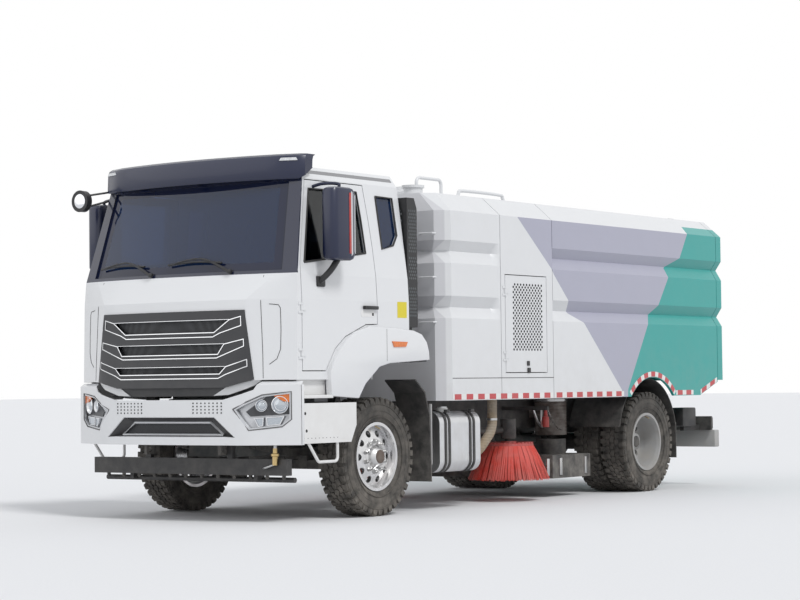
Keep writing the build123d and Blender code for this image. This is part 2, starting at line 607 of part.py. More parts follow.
HINGE_LEVELS = (1400.0, 1780.0)
FLOOR_T = 60.0
GRILLE_HOLE = [(-770, 1150), (-862, 1200), (-778, 1750), (778, 1750), (862, 1200), (770, 1150)]
with BuildPart() as cab_shell:
    add(cab_outer.part)
    cab_solid(CAB_WALL, low=CAB_FLOOR, high=CAB_ROOF - CAB_WALL, mode=Mode.SUBTRACT)
    # open space below the floor for the engine
    block(-1205 + CAB_WALL, 1205 - CAB_WALL, FA - 1290, CAB_BACK - 30, CAB_LOW - 5, CAB_FLOOR - FLOOR_T,
          mode=Mode.SUBTRACT)
    # wheel arches through the skirts
    for side in (1, -1):
        arch = ARCH_LINE + [(CAB_BACK + 300, CAB_LOW - 200), (FA - 354, CAB_LOW - 200)]
        prism_x(arch, min(side * 800, side * 1300), max(side * 800, side * 1300), mode=Mode.SUBTRACT)
    # windscreen, quarter windows, grille opening and doorways
    prism_y(SCREEN, FA - 1500, FA - 700, mode=Mode.SUBTRACT)
    prism_x(QUARTER, -1400, 1400, mode=Mode.SUBTRACT)
    prism_y(GRILLE_HOLE, FA - 1500, FA - 1250, mode=Mode.SUBTRACT)
    add(door_cut.part, mode=Mode.SUBTRACT)
    for side in (1, -1):
        for z in HINGE_LEVELS:
            hinge_fixed(side * DOOR_HINGE_X, DOOR_HINGE_Y, z, side)
        # tilt lugs below the floor with their bores
        x = side * (RAIL_X - 5)
        block(x - 30, x + 30, TILT_Y - 26, TILT_Y + 60, TILT_Z, CAB_FLOOR - FLOOR_T)
        rod_x(x - 30, x + 30, TILT_Y, TILT_Z, 28)
        rod_x(x - 31, x + 31, TILT_Y, TILT_Z, 15 + SEAT, mode=Mode.SUBTRACT)
keep(cab_shell, "cab_shell")

# Windscreen and quarter windows
with BuildPart() as cab_glass:
    add(cab_glass_outer.part)
    add(cab_glass_inner.part, mode=Mode.SUBTRACT)
    with BuildPart(mode=Mode.PRIVATE) as panes:
        prism_y(SCREEN, FA - 1500, FA - 700)
        prism_x(QUARTER, 700, 1400)
        prism_x(QUARTER, -1400, -700)
    add(panes.part, mode=Mode.INTERSECT)
keep(cab_glass, "cab_glass")

# Grille: a frame that fills the opening, a mesh plate set back, and bars across it
GRILLE_EDGE = [(-765, 1155), (-852, 1204), (-770, 1745), (770, 1745), (852, 1204), (765, 1155)]
GRILLE_CLEAR = [(-722, 1195), (-800, 1235), (-730, 1705), (730, 1705), (800, 1235), (722, 1195)]
GRILLE_BARS = (1290.0, 1390.0, 1490.0, 1590.0)
with BuildPart() as grille_ring:
    cab_solid(-14)
    cab_solid(26, mode=Mode.SUBTRACT)
with BuildPart() as grille:
    prism_y(GRILLE_EDGE, FA - 1500, FA - 1260)
    prism_y(GRILLE_CLEAR, FA - 1501, FA - 1259, mode=Mode.SUBTRACT)
    for z in GRILLE_BARS:
        reach = 830 - (z + 20 - 1204) * 82 / 541
        prism_y([(-reach, z + 20), (-reach, z - 16), (-560, z - 16), (-430, z - 40), (430, z - 40),
                 (560, z - 16), (reach, z - 16), (reach, z + 20), (540, z + 20), (420, z - 6),
                 (-420, z - 6), (-540, z + 20)], FA - 1500, FA - 1260)
    add(grille_ring.part, mode=Mode.INTERSECT)
with BuildPart() as grille_mesh:
    cab_solid(26)
    cab_solid(38, mode=Mode.SUBTRACT)
with BuildPart() as grille_back:
    prism_y(GRILLE_EDGE, FA - 1500, FA - 1260)
    add(grille_mesh.part, mode=Mode.INTERSECT)
with BuildPart() as grille_whole:
    add(grille.part)
    add(grille_back.part)
keep(grille_whole, "grille")

# Sun visor over the windscreen
with BuildPart() as visor:
    with BuildSketch(Plane.XY.offset(2919)) as crescent:
        with BuildLine():
            outer_arc = ThreePointArc((-1115, FA - 875), (0, FA - 1135), (1115, FA - 875))
            Line(outer_arc @ 1, (1085, FA - 835))
            inner_arc = ThreePointArc((1085, FA - 835), (0, FA - 1098), (-1085, FA - 835))
            Line(inner_arc @ 1, outer_arc @ 0)
        make_face()
    extrude(amount=165)
    for x in (-700, 0, 700):
        block(x - 30, x + 30, FA - 1110 if x == 0 else FA - 1020, FA - 820, 2935, 2965)
    add(cab_outer.part, mode=Mode.SUBTRACT)
keep(visor, "visor")

# Seats, dashboard and steering wheel
with BuildPart() as cab_interior:
    prism_x(at_axle(FA, [(-1120, 1600), (-1120, 1990), (-900, 2010), (-810, 1900), (-860, CAB_FLOOR),
                         (-1000, CAB_FLOOR)]), -1000, 1000)
    for side in (1, -1):
        x = side * 580
        block(x - 180, x + 180, FA - 420, FA - 40, CAB_FLOOR, 1680)
        block(x - 250, x + 250, FA - 500, FA + 60, 1680, 1800)
        prism_x(at_axle(FA, [(-20, 1800), (90, 1800), (240, 2400), (150, 2420)]), x - 240, x + 240)
        prism_x(at_axle(FA, [(150, 2400), (236, 2380), (285, 2600), (205, 2620)]), x - 140, x + 140)
    bar((580, FA - 860, 1960), (580, FA - 690, 2075), 30)
    with Locations(Location((580, FA - 690, 2075), (55, 0, 0))):
        Torus(215, 16)
        Box(400, 36, 18)
keep(cab_interior, "cab_interior")

# Front fenders with their side sills and inner arches
FENDER_EDGE = at_axle(FA, [
    (690, 1341), (662, 1483), (572, 1589), (359, 1622), (-200, 1640), (-486, 1534), (-627, 1432),
    (-754, 1253), (-1090, 1253), (-1090, 1052),
])
with BuildPart() as cab_fenders:
    for side in (1, -1):
        prism_x(ARCH_LINE[:-1] + FENDER_EDGE, min(side * 1205, side * 1245), max(side * 1205, side * 1245))
        lining = ARCH_LINE + [(y + 4, z + 16) for y, z in reversed(ARCH_LINE)]
        prism_x(lining, min(side * 900, side * 1205), max(side * 900, side * 1205))
    add(cab_shell.part, mode=Mode.SUBTRACT)
keep(cab_fenders, "cab_fenders")

# Wipers on the windscreen
with BuildPart() as wipers:
    for side in (1, -1):
        bar((side * 120, FA - 1330, 2070), (side * 700, FA - 1262, 2140), 9)
        bar((side * 120, FA - 1250, 2070), (side * 120, FA - 1335, 2070), 13)
    add(cab_shell.part, mode=Mode.SUBTRACT)
keep(wipers, "wipers")

# Air intake behind the cab
with BuildPart() as snorkel:
    prism_x(at_axle(FA, [(450, 1640), (600, 1640), (600, 2700), (560, 2790), (450, 2790)]), 960, 1180)
    for z in (1750, 2600):
        block(1000, 1060, CAB_BACK, FA + 450, z, z + 60)
    block(960, 1120, FA + 460, FA + 590, 1370, 1640)
keep(snorkel, "snorkel")

# Cab doors, their glass and the mirrors on them
DOOR_GAP_FRONT = DOOR_OUTLINE
for side_name, side in (("left", 1), ("right", -1)):
    near, far = min(side * 700, side * 1400), max(side * 700, side * 1400)
    with BuildPart() as door:
        prism_x(DOOR_OUTLINE, near, far)
        with BuildPart(mode=Mode.PRIVATE) as door_skin:
            add(cab_outer.part)
            add(cab_door_inner.part, mode=Mode.SUBTRACT)
        add(door_skin.part, mode=Mode.INTERSECT)
        prism_x(DOOR_WINDOW, near, far, mode=Mode.SUBTRACT)
        block(min(side * 1200, side * 1232), max(side * 1200, side * 1232), FA - 223, FA - 70, 1788, 1812)
        for z in HINGE_LEVELS:
            hinge_moving(side * DOOR_HINGE_X, DOOR_HINGE_Y, z, side)
    keep(door, "door_" + side_name)

    with BuildPart() as door_glass:
        prism_x(DOOR_WINDOW, near, far)
        with BuildPart(mode=Mode.PRIVATE) as pane:
            add(cab_glass_outer.part)
            add(cab_glass_inner.part, mode=Mode.SUBTRACT)
        add(pane.part, mode=Mode.INTERSECT)
    keep(door_glass, "door_glass_" + side_name)

    with BuildPart() as mirror:
        x = side * 1330
        prism_z([(x - side * 85, FA - 700), (x - side * 70, FA - 850), (x, FA - 890), (x + side * 75, FA - 850),
                 (x + side * 90, FA - 700)], 2150, 2690)
        block(min(side * 1195, x), max(side * 1195, x), FA - 840, FA - 800, 1960, 1990)
        rod_z(x, FA - 800, 1960, 2160, 20)
        block(min(side * 1120, x), max(side * 1120, x), FA - 800, FA - 770, 2705, 2730)
        rod_z(x, FA - 785, 2680, 2730, 18)
        add(door.part, mode=Mode.SUBTRACT)
    keep(mirror, "mirror_" + side_name)

# Round kerb mirror on the right front corner
with BuildPart() as kerb_mirror:
    with Locations(Location((-1250, FA - 1130, 2800), (90, 0, 0))):
        Cylinder(95, 60)
    bar((-1210, FA - 1105, 2850), (-1085, FA - 905, 2890), 9)
    bar((-1210, FA - 1105, 2750), (-1095, FA - 925, 2810), 9)
    add(cab_shell.part, mode=Mode.SUBTRACT)
keep(kerb_mirror, "kerb_mirror")

# Bumper: a bowed skin with its corners, lamp and intake openings
BUMPER_LOW, BUMPER_HIGH = 648.0, 1135.0
BUMPER_SKIN = 18.0


def bumper_outline(inset, low, high, mode=Mode.ADD):
    with BuildSketch(Plane.XY.offset(low)) as plan:
        with BuildLine():
            brow = (800 - inset * 0.4, FA - 1372 + inset)
            corner = (1246 - inset, FA - 1165 + inset * 0.3)
            ThreePointArc((-brow[0], brow[1]), (0, FA - FRONT_OVERHANG + inset), brow)
            Polyline(brow, corner, (corner[0], FA - 1125), (-corner[0], FA - 1125), (-corner[0], corner[1]),
                     (-brow[0], brow[1]))
        make_face()
    extrude(plan.sketch, amount=high - low, mode=mode)


LAMP_SHAPE = [(697, 947), (840, 771), (1100, 800), (1172, 860), (1172, 1089), (945, 1063)]
INTAKE = [(-508, 884), (508, 884), (716, 713), (-716, 713)]
MID_TOP = 1048.0
with BuildPart() as bumper:
    bumper_outline(0, BUMPER_LOW, BUMPER_HIGH)
    bumper_outline(BUMPER_SKIN, BUMPER_LOW - 1, BUMPER_HIGH + 1, mode=Mode.SUBTRACT)
    prism_y([(-780, MID_TOP), (780, MID_TOP), (960, BUMPER_HIGH + 5), (-960, BUMPER_HIGH + 5)],
            FA - 1500, FA - 1000, mode=Mode.SUBTRACT)
    for lamp in (LAMP_SHAPE, mirrored_x(LAMP_SHAPE)):
        prism_y(lamp, FA - 1500, FA - 1126, mode=Mode.SUBTRACT)
    prism_y(INTAKE, FA - 1500, FA - 1000, mode=Mode.SUBTRACT)
    # brackets back to the rails
    for side in (1, -1):
        inner, outer = sorted((side * RAIL_X, side * (RAIL_X - 60)))
        block(inner, outer, FA - 1405, RAIL_FRONT, 900, 940)
        block(inner, outer, FA - 1405, RAIL_FRONT, 655, 700)
        block(side * (RAIL_X - 60), side * 1228, RAIL_FRONT - 20, RAIL_FRONT, 655, 700)
        x0, x1 = sorted((side * 1200, side * 1228))
        block(x0, x1, FA - 1175, FA - 1125, 655, 1120)
keep(bumper, "bumper")

# Head lamps and the black mesh behind the intake
with BuildPart() as lamp_zone:
    bumper_outline(4, BUMPER_LOW, BUMPER_HIGH)
    bumper_outline(110, BUMPER_LOW - 1, BUMPER_HIGH + 1, mode=Mode.SUBTRACT)
with BuildPart() as headlamps:
    for lamp in (LAMP_SHAPE, mirrored_x(LAMP_SHAPE)):
        prism_y(lamp, FA - 1500, FA - 1126)
    add(lamp_zone.part, mode=Mode.INTERSECT)
keep(headlamps, "headlamps")
with BuildPart() as mesh_zone:
    bumper_outline(8, BUMPER_LOW, BUMPER_HIGH)
    bumper_outline(40, BUMPER_LOW - 1, BUMPER_HIGH + 1, mode=Mode.SUBTRACT)
with BuildPart() as intake_mesh:
    prism_y(INTAKE, FA - 1500, FA - 1300)
    add(mesh_zone.part, mode=Mode.INTERSECT)
    block(-560, 560, FA - 1330, FA - 1318, 1040, 1095)
    for side in (1, -1):
        block(side * 500 - 30, side * 500 + 30, FA - 1345, FA - 1318, 880, 1095)
keep(intake_mesh, "intake_mesh")

# Spray bar under the bumper
SPRAY_Y = FA - 1127
with BuildPart() as spray_bar:
    block(-1085, 1085, SPRAY_Y - 35, SPRAY_Y + 35, 393, 530)
    rod_x(-1060, 1060, SPRAY_Y + 110, 351, 22)
    for side in (1, -1):
        x0, x1 = sorted((side * RAIL_X, side * (RAIL_X + 60)))
        block(x0, x1, SPRAY_Y - 20, SPRAY_Y + 20, 530, 740)
        block(side * 700 - 20, side * 700 + 20, SPRAY_Y + 30, SPRAY_Y + 125, 345, 410)
keep(spray_bar, "spray_bar")

# Side steps: outer panels on cross tubes from the rails, with a bent tread bar
with BuildPart() as side_steps:
    for side in (1, -1):
        prism_x(at_axle(FA, [(-1118, 657), (-478, 657), (-402, 800), (-402, 990), (-1118, 990)]),
                side * 1195, side * 1240)
        rod_x(min(side * RAIL_X, side * 1200), max(side * RAIL_X, side * 1200), FA - 1000, 760, 24)
        x0, x1 = sorted((side * 1000, side * 1200))
        block(x0, x1, FA - 1060, FA - 700, 700, 720)
        x0, x1 = sorted((side * 1195, side * 1000))
        with BuildLine():
            FilletPolyline((side * 1215, FA - 1034, 660), (side * 1215, FA - 900, 500),
                           (side * 1215, FA - 640, 500), (side * 1215, FA - 640, 660), radius=40)
        bend = Plane(origin=(side * 1215, FA - 1034, 660), z_dir=(0, 134, -160))
        with BuildSketch(bend):
            Circle(13)
        sweep()
keep(side_steps, "side_steps")

# Fuel tank on the left with two straps, air tanks and battery box on the right
with BuildPart() as fuel_tank:
    with BuildSketch(Plane.XZ.offset(-(FA + 1580))) as tank_section:
        with Locations((905, 612)):
            RectangleRounded(540, 552, 110)
    extrude(tank_section.sketch, amount=655)
    rod_z(1080, FA + 1100, 870, 930, 45)
    for y in (FA + 1080, FA + 1430):
        block(RAIL_X, 660, y - 30, y + 30, 690, 760)
keep(fuel_tank, "fuel_tank")
with BuildPart() as air_tanks:
    for x, z in ((-700, 780), (-1000, 780)):
        rod_y(x, FA + 950, FA + 1600, z, 130)
    block(-830, -870, FA + 1200, FA + 1240, 700, 860)
    for y in (FA + 1080, FA + 1430):
        block(-600, -RAIL_X, y - 30, y + 30, 740, 800)
    block(-1170, -640, FA + 950, FA + 1600, 380, 640)
    block(-760, -640, FA + 1000, FA + 1550, 630, 700)
keep(air_tanks, "air_tanks")

# Mudguards: flaps behind the front wheels, arch liners and flaps at the rear wheels
with BuildPart() as mudguards:
    for side in (1, -1):
        x0, x1 = sorted((side * 900, side * 1235))
        prism_x(at_axle(FA, [(470, 1170), (610, 1060), (678, 860), (700, 270), (712, 270), (690, 862),
                             (622, 1068), (480, 1180)]), x0, x1)
        rod_x(min(side * RAIL_X, side * 910), max(side * RAIL_X, side * 910), FA + 672, 890, 20)
        x0, x1 = sorted((side * 590, side * 1186))
        with BuildSketch(Plane.YZ.offset(x0)) as arch:
            with Locations((RA, ARCH_Z)):
                Circle(ARCH_R - 12)
                Circle(ARCH_R - 22, mode=Mode.SUBTRACT)
                with Locations((0, -ARCH_R + 110)):
                    Rectangle(3 * ARCH_R, 2 * ARCH_R, mode=Mode.SUBTRACT)
        extrude(arch.sketch, amount=x1 - x0)
        block(x0, x1, RA + 585, RA + 597, 330, 700)
        for y in (RA - 560, RA + 560):
            a, b = sorted((side * RAIL_X, side * 640))
            block(a, b, y - 12, y + 12, 700, 740)
keep(mudguards, "mudguards")

# Rear guard beam and its brackets on the rail ends
with BuildPart() as rear_guard:
    block(-1150, 1150, REAR_END - 100, REAR_END, 430, 580)
    for side in (1, -1):
        x = side * 380
        block(x - 30, x + 30, RAIL_REAR, RA + 1450, 480, 750)
        block(x - 30, x + 30, RA + 1450, REAR_END - 100, 480, 560)
keep(rear_guard, "rear_guard")
with BuildPart() as tail_lamps:
    block(-1150, 1150, RA + 1450, RA + 1480, 600, 750)
    for side in (1, -1):
        x0, x1 = sorted((side * 800, side * 1130))
        block(x0, x1, RA + 1480, RA + 1530, 615, 735)
keep(tail_lamps, "tail_lamps")

# Rails on the roof
with BuildPart() as roof_rails:
    for side in (1, -1):
        x = side * 720
        with BuildLine():
            FilletPolyline((x, FA + 1250, BODY_HIGH), (x, FA + 1250, 3055), (x, FA + 1650, 3055),
                           (x, FA + 1650, BODY_HIGH), radius=50)
        with BuildSketch(Plane.XY.offset(BODY_HIGH)):
            with Locations((x, FA + 1250)):
                Circle(16)
        sweep()
keep(roof_rails, "roof_rails")

# Suction duct up to the hopper, and the air hose behind the fuel tank
DUCT_X, DUCT_Y, DUCT_R = 650.0, FA + 3650.0, 160.0
with BuildPart() as suction_duct:
    rod_z(DUCT_X, DUCT_Y, 610, HOPPER_FLOOR - SKIN - GAP, DUCT_R)
    rod_z(DUCT_X, DUCT_Y, 600, HOPPER_FLOOR - SKIN, DUCT_R - 12, mode=Mode.SUBTRACT)
    block(RAIL_X, DUCT_X - DUCT_R + 8, DUCT_Y - 60, DUCT_Y + 60, 780, 860)
keep(suction_duct, "suction_duct")
with BuildPart() as air_hose:
    with BuildLine():
        FilletPolyline((1080, FA + 1930, BODY_LOW), (1080, FA + 1925, 700), (1080, FA + 1640, 470),
                       (700, FA + 1640, 470), radius=(180, 120))
    with BuildSketch(Plane.XY.offset(BODY_LOW)):
        with Locations((1080, FA + 1930)):
            Circle(45)
    sweep()
keep(air_hose, "air_hose")

# Side brushes on swinging arms
BRUSH_X, BRUSH_Y, BRUSH_R = 820.0, FA + 2600.0, 410.0
ARM_X, ARM_Y = 540.0, FA + 2150.0
BRUSH_LOW, BRUSH_TOP = 200.0, 575.0
with BuildPart() as brush_posts:
    for side in (1, -1):
        x = side * ARM_X
        rod_z(x, ARM_Y, 560, 800, 20)
        for low in (560, 760):
            x0, x1 = sorted((side * RAIL_X, x))
            block(x0, x1, ARM_Y - 35, ARM_Y + 35, low, low + 40)
            rod_z(x, ARM_Y, low, low + 40, 35)
        x0, x1 = sorted((side * RAIL_X, side * (RAIL_X + 20)))
        block(x0, x1, ARM_Y - 35, ARM_Y + 35, 560, 800)
keep(brush_posts, "brush_posts")
for side_name, side in (("left", 1), ("right", -1)):
    with BuildPart() as brush_arm:
        pivot = (side * ARM_X, ARM_Y, 680)
        hub = (side * BRUSH_X, BRUSH_Y, 680)
        bar(pivot, hub, 34)
        rod_z(pivot[0], ARM_Y, 602, 758, 40)
        rod_z(pivot[0], ARM_Y, 600, 760, 20 + SEAT, mode=Mode.SUBTRACT)
        rod_z(hub[0], BRUSH_Y, 600, 790, 75)
        rod_z(hub[0], BRUSH_Y, BRUSH_TOP - 38, 600, 30)
    keep(brush_arm, "brush_arm_" + side_name)
    with BuildPart() as brush:
        with BuildSketch(Plane(origin=(side * BRUSH_X, BRUSH_Y, 0), x_dir=(1, 0, 0), z_dir=(0, -1, 0))) as cone:
            with BuildLine():
                Polyline((0, BRUSH_TOP), (235, BRUSH_TOP), (250, 545), (300, 430), (BRUSH_R, BRUSH_LOW),
                         (BRUSH_R - 130, BRUSH_LOW), (170, 430), (150, 535), (0, 535), close=True)
            make_face()
        revolve(cone.sketch, axis=Axis((side * BRUSH_X, BRUSH_Y, 0), (0, 0, 1)))
        rod_z(side * BRUSH_X, BRUSH_Y, 534, BRUSH_TOP + 1, 30 + SEAT, mode=Mode.SUBTRACT)
    keep(brush, "brush_" + side_name)

# Suction nozzle between the axles, hung from drag arms
NOZZLE_FRONT, NOZZLE_REAR = FA + 3180.0, FA + 3900.0
NOZZLE_LOW, NOZZLE_HIGH = 190.0, 420.0
NOZZLE_HALF = 960.0
DRAG_Y, DRAG_Z = FA + 3020.0, 640.0
with BuildPart() as nozzle:
    block(-NOZZLE_HALF, NOZZLE_HALF, NOZZLE_FRONT, NOZZLE_REAR, NOZZLE_LOW, NOZZLE_HIGH)
    block(-NOZZLE_HALF + 30, NOZZLE_HALF - 30, NOZZLE_FRONT + 30, NOZZLE_REAR - 30, NOZZLE_LOW - 5,
          NOZZLE_HIGH - 40, mode=Mode.SUBTRACT)
    rod_z(DUCT_X, DUCT_Y, NOZZLE_HIGH - 60, NOZZLE_HIGH + 150, DUCT_R - 10)
    rod_z(DUCT_X, DUCT_Y, NOZZLE_HIGH - 70, NOZZLE_HIGH + 160, DUCT_R - 22, mode=Mode.SUBTRACT)
    for side in (1, -1):
        x = side * 300
        bar((x, DRAG_Y, DRAG_Z), (x, NOZZLE_FRONT + 120, NOZZLE_HIGH - 10), 26)
        rod_x(x - 30, x + 30, DRAG_Y, DRAG_Z, 36)
        rod_x(x - 31, x + 31, DRAG_Y, DRAG_Z, 18 + SEAT, mode=Mode.SUBTRACT)
keep(nozzle, "nozzle")
with BuildPart() as nozzle_hanger:
    for side in (1, -1):
        x = side * 300
        for dx in (-42, 42):
            block(x + dx - 7, x + dx + 7, DRAG_Y - 40, DRAG_Y + 40, DRAG_Z - 30, 780)
        rod_x(x - 49, x + 49, DRAG_Y, DRAG_Z, 18)
    block(-RAIL_X + RAIL_WALL, RAIL_X - RAIL_WALL, DRAG_Y - 40, DRAG_Y + 40, 780, 860)
keep(nozzle_hanger, "nozzle_hanger")
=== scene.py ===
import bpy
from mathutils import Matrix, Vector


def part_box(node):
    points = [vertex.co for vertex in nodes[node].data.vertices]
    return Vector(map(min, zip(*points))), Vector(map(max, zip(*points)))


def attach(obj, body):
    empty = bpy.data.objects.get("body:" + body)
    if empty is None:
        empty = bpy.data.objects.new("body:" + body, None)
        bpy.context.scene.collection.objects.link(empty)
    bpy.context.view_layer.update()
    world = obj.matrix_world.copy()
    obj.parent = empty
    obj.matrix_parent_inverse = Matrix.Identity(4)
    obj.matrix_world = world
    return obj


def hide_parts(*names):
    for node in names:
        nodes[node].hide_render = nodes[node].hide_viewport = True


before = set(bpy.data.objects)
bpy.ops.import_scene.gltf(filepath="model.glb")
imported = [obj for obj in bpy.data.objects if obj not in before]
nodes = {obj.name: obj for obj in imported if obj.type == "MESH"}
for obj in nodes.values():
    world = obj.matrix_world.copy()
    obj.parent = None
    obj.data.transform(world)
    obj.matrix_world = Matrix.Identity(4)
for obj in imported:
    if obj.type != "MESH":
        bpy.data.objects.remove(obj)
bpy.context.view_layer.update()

import math
import random

import bmesh
import bpy
from mathutils import Matrix, Vector
from mathutils.bvhtree import BVHTree

# Street sweeper truck. Metres, front towards -Y, +X is the vehicle's left, +Z is up.
sides = (("left", 1), ("right", -1))
upward = (0, 0, 1)


def middle(node):
    low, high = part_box(node)
    return (low + high) / 2


frontAxle = middle("tyre_front_left").y
rearAxle = middle("tyre_rear_left").y
hubHeight = middle("tyre_front_left").z


def spot(x, y, z):
    # a place whose y counts from the front axle
    return (x, frontAxle + y, z)


def linked(name, data):
    obj = bpy.data.objects.new(name, data)
    bpy.context.scene.collection.objects.link(obj)
    return obj


# Camera, floor and light

cameraSettings = {
    "place": (12.518, -17.817, 1.1375),
    "yaw": 35.82,      # degrees to the right of straight ahead
    "pitch": 2.19,
    "roll": -0.67,
    "lens": 99.2,
}
lightSettings = {
    "sky": (0.93, 0.96, 1.0),
    "skyStrength": 0.62,
    "keyStrength": 1.55,
    "keyTurn": (40, 8, 62),     # degrees
    "fillStrength": 0.35,
    "fillTurn": (62, 0, -38),
    "floorColour": (0.80, 0.80, 0.81),
    "floorRadius": 160.0,
}


def makeCamera():
    data = bpy.data.cameras.new("camera")
    data.sensor_width = 36
    data.lens = cameraSettings["lens"]
    data.clip_end = 500
    yaw, pitch, roll = (math.radians(cameraSettings[key]) for key in ("yaw", "pitch", "roll"))
    ahead = Vector((-math.sin(yaw) * math.cos(pitch), math.cos(yaw) * math.cos(pitch), math.sin(pitch)))
    across = ahead.cross(Vector(upward)).normalized()
    above = across.cross(ahead)
    right = math.cos(roll) * across + math.sin(roll) * above
    up = -math.sin(roll) * across + math.cos(roll) * above
    turn = Matrix((right, up, -ahead)).transposed().to_4x4()
    camera = linked("camera", data)
    camera.matrix_world = Matrix.Translation(cameraSettings["place"]) @ turn
    bpy.context.scene.camera = camera


def makeLight():
    bpy.context.scene.view_settings.view_transform = "Standard"
    world = bpy.data.worlds.new("studio")
    bpy.context.scene.world = world
    world.use_nodes = True
    tree = world.node_tree
    tree.nodes.clear()
    sky = addNode(tree, "ShaderNodeBackground", {"Color": (*lightSettings["sky"], 1),
                                                 "Strength": lightSettings["skyStrength"]})
    white = addNode(tree, "ShaderNodeBackground", {"Color": (1, 1, 1, 1)})
    path = addNode(tree, "ShaderNodeLightPath").outputs
    shown = calc(tree, "MAXIMUM", path["Is Camera Ray"], path["Is Glossy Ray"])
    shown = calc(tree, "MAXIMUM", shown, path["Is Transmission Ray"])
    mix = addNode(tree, "ShaderNodeMixShader", {0: shown, 1: sky.outputs[0], 2: white.outputs[0]})
    addNode(tree, "ShaderNodeOutputWorld", {0: mix.outputs[0]})
    for name, spread in (("key", 14), ("fill", 60)):
        data = bpy.data.lights.new(name, "SUN")
        data.energy = lightSettings[name + "Strength"]
        data.angle = math.radians(spread)
        linked(name, data).rotation_euler = [math.radians(a) for a in lightSettings[name + "Turn"]]


def makeFloor():
    reach = lightSettings["floorRadius"]
    mesh = bpy.data.meshes.new("floor")
    mesh.from_pydata([(-reach, -reach, 0), (reach, -reach, 0), (reach, reach, 0), (-reach, reach, 0)], [],
                     [(0, 1, 2, 3)])
    mat, tree, shader = startMaterial("paleFloor", Roughness=0.85)
    grain = noise(tree, objectPlace(tree), 55, detail=4)
    tint = ramp(tree, grain, [(0.3, (0.77, 0.77, 0.78)), (0.7, lightSettings["floorColour"])])
    tree.links.new(tint, shader.inputs["Base Color"])
    mesh.materials.append(mat)
    floor = linked("floor", mesh)


# Small helpers for nodes and materials

def addNode(tree, kind, inputs=None, **settings):
    node = tree.nodes.new(kind)
    for key, value in settings.items():
        setattr(node, key, value)
    for key, value in (inputs or {}).items():
        if isinstance(value, bpy.types.NodeSocket):
            tree.links.new(value, node.inputs[key])
        else:
            node.inputs[key].default_value = value
    return node


def made(tree, kind, inputs=None, **settings):
    return addNode(tree, kind, inputs, **settings).outputs[0]


def calc(tree, operation, a, b=0.0):
    return made(tree, "ShaderNodeMath", {0: a, 1: b}, operation=operation)


def objectPlace(tree, scale=(1, 1, 1)):
    coords = addNode(tree, "ShaderNodeTexCoord").outputs["Object"]
    if scale == (1, 1, 1):
        return coords
    return made(tree, "ShaderNodeMapping", {"Vector": coords, "Scale": scale})


def noise(tree, vector, scale, detail=3.0, rough=0.5):
    settings = {"Vector": vector, "Scale": scale, "Detail": detail, "Roughness": rough}
    return addNode(tree, "ShaderNodeTexNoise", settings).outputs["Fac"]


def ramp(tree, value, stops):
    node = addNode(tree, "ShaderNodeValToRGB", {0: value})
    band = node.color_ramp.elements
    while len(band) < len(stops):
        band.new(0.5)
    for element, (at, colour) in zip(band, stops):
        element.position = at
        element.color = (*colour, 1) if hasattr(colour, "__len__") else (colour, colour, colour, 1)
    return node.outputs["Color"]


def within(tree, value, low, high):
    above = calc(tree, "GREATER_THAN", value, low)
    return calc(tree, "MULTIPLY", above, calc(tree, "LESS_THAN", value, high))


def mapped(tree, value, low, high, toLow=0.0, toHigh=1.0):
    settings = {"Value": value, "From Min": low, "From Max": high, "To Min": toLow, "To Max": toHigh}
    return made(tree, "ShaderNodeMapRange", settings)


def mixColour(tree, factor, a, b, blend="MIX"):
    colours = [(*c, 1) if not isinstance(c, bpy.types.NodeSocket) else c for c in (a, b)]
    node = addNode(tree, "ShaderNodeMix", {0: factor, 6: colours[0], 7: colours[1]},
                   data_type="RGBA", blend_type=blend)
    return node.outputs[2]


def splitPlace(tree, place):
    return addNode(tree, "ShaderNodeSeparateXYZ", {0: place}).outputs[:3]


def startMaterial(name, **sockets):
    mat = bpy.data.materials.new(name)
    mat.use_nodes = True
    shader = mat.node_tree.nodes["Principled BSDF"]
    for key, value in sockets.items():
        shader.inputs[key.replace("_", " ")].default_value = value
    return mat, mat.node_tree, shader


def setBump(tree, shader, height, strength, distance=0.002):
    settings = {"Height": height, "Strength": strength, "Distance": distance}
    tree.links.new(made(tree, "ShaderNodeBump", settings), shader.inputs["Normal"])


# Finishes: colour, road dust that gathers low down, uneven gloss and a fine surface

def finish(name, colour, rough=0.4, metal=0.0, dust=0.25, dustColour=(0.42, 0.39, 0.35), dustTop=1.6,
           mottle=0.06, grain=240, bump=0.12, coat=0.0, stretch=(1, 1, 1), paintColour=None):
    mat, tree, shader = startMaterial(name, Metallic=metal, Coat_Weight=coat, Coat_Roughness=0.08)
    place = objectPlace(tree)
    base = paintColour(tree, place) if paintColour else colour
    soft = noise(tree, place, 2.6, detail=5, rough=0.6)
    darker = mixColour(tree, calc(tree, "MULTIPLY", soft, mottle * 2), (1, 1, 1), (0.55, 0.55, 0.56))
    shaded = mixColour(tree, 1.0, base, darker, "MULTIPLY")
    low = mapped(tree, splitPlace(tree, place)[2], dustTop, 0.2)
    speckle = ramp(tree, noise(tree, place, 7.5, detail=6, rough=0.65), [(0.36, 0.15), (0.72, 1.0)])
    film = calc(tree, "MULTIPLY", calc(tree, "MULTIPLY", low, speckle), dust)
    film = calc(tree, "ADD", film, calc(tree, "MULTIPLY", speckle, dust * 0.12))
    tree.links.new(mixColour(tree, film, shaded, dustColour), shader.inputs["Base Color"])
    tree.links.new(mapped(tree, film, 0.0, 0.5, rough, min(1.0, rough + 0.4)), shader.inputs["Roughness"])
    setBump(tree, shader, noise(tree, objectPlace(tree, stretch), grain, detail=2), bump, 0.0012)
    return mat


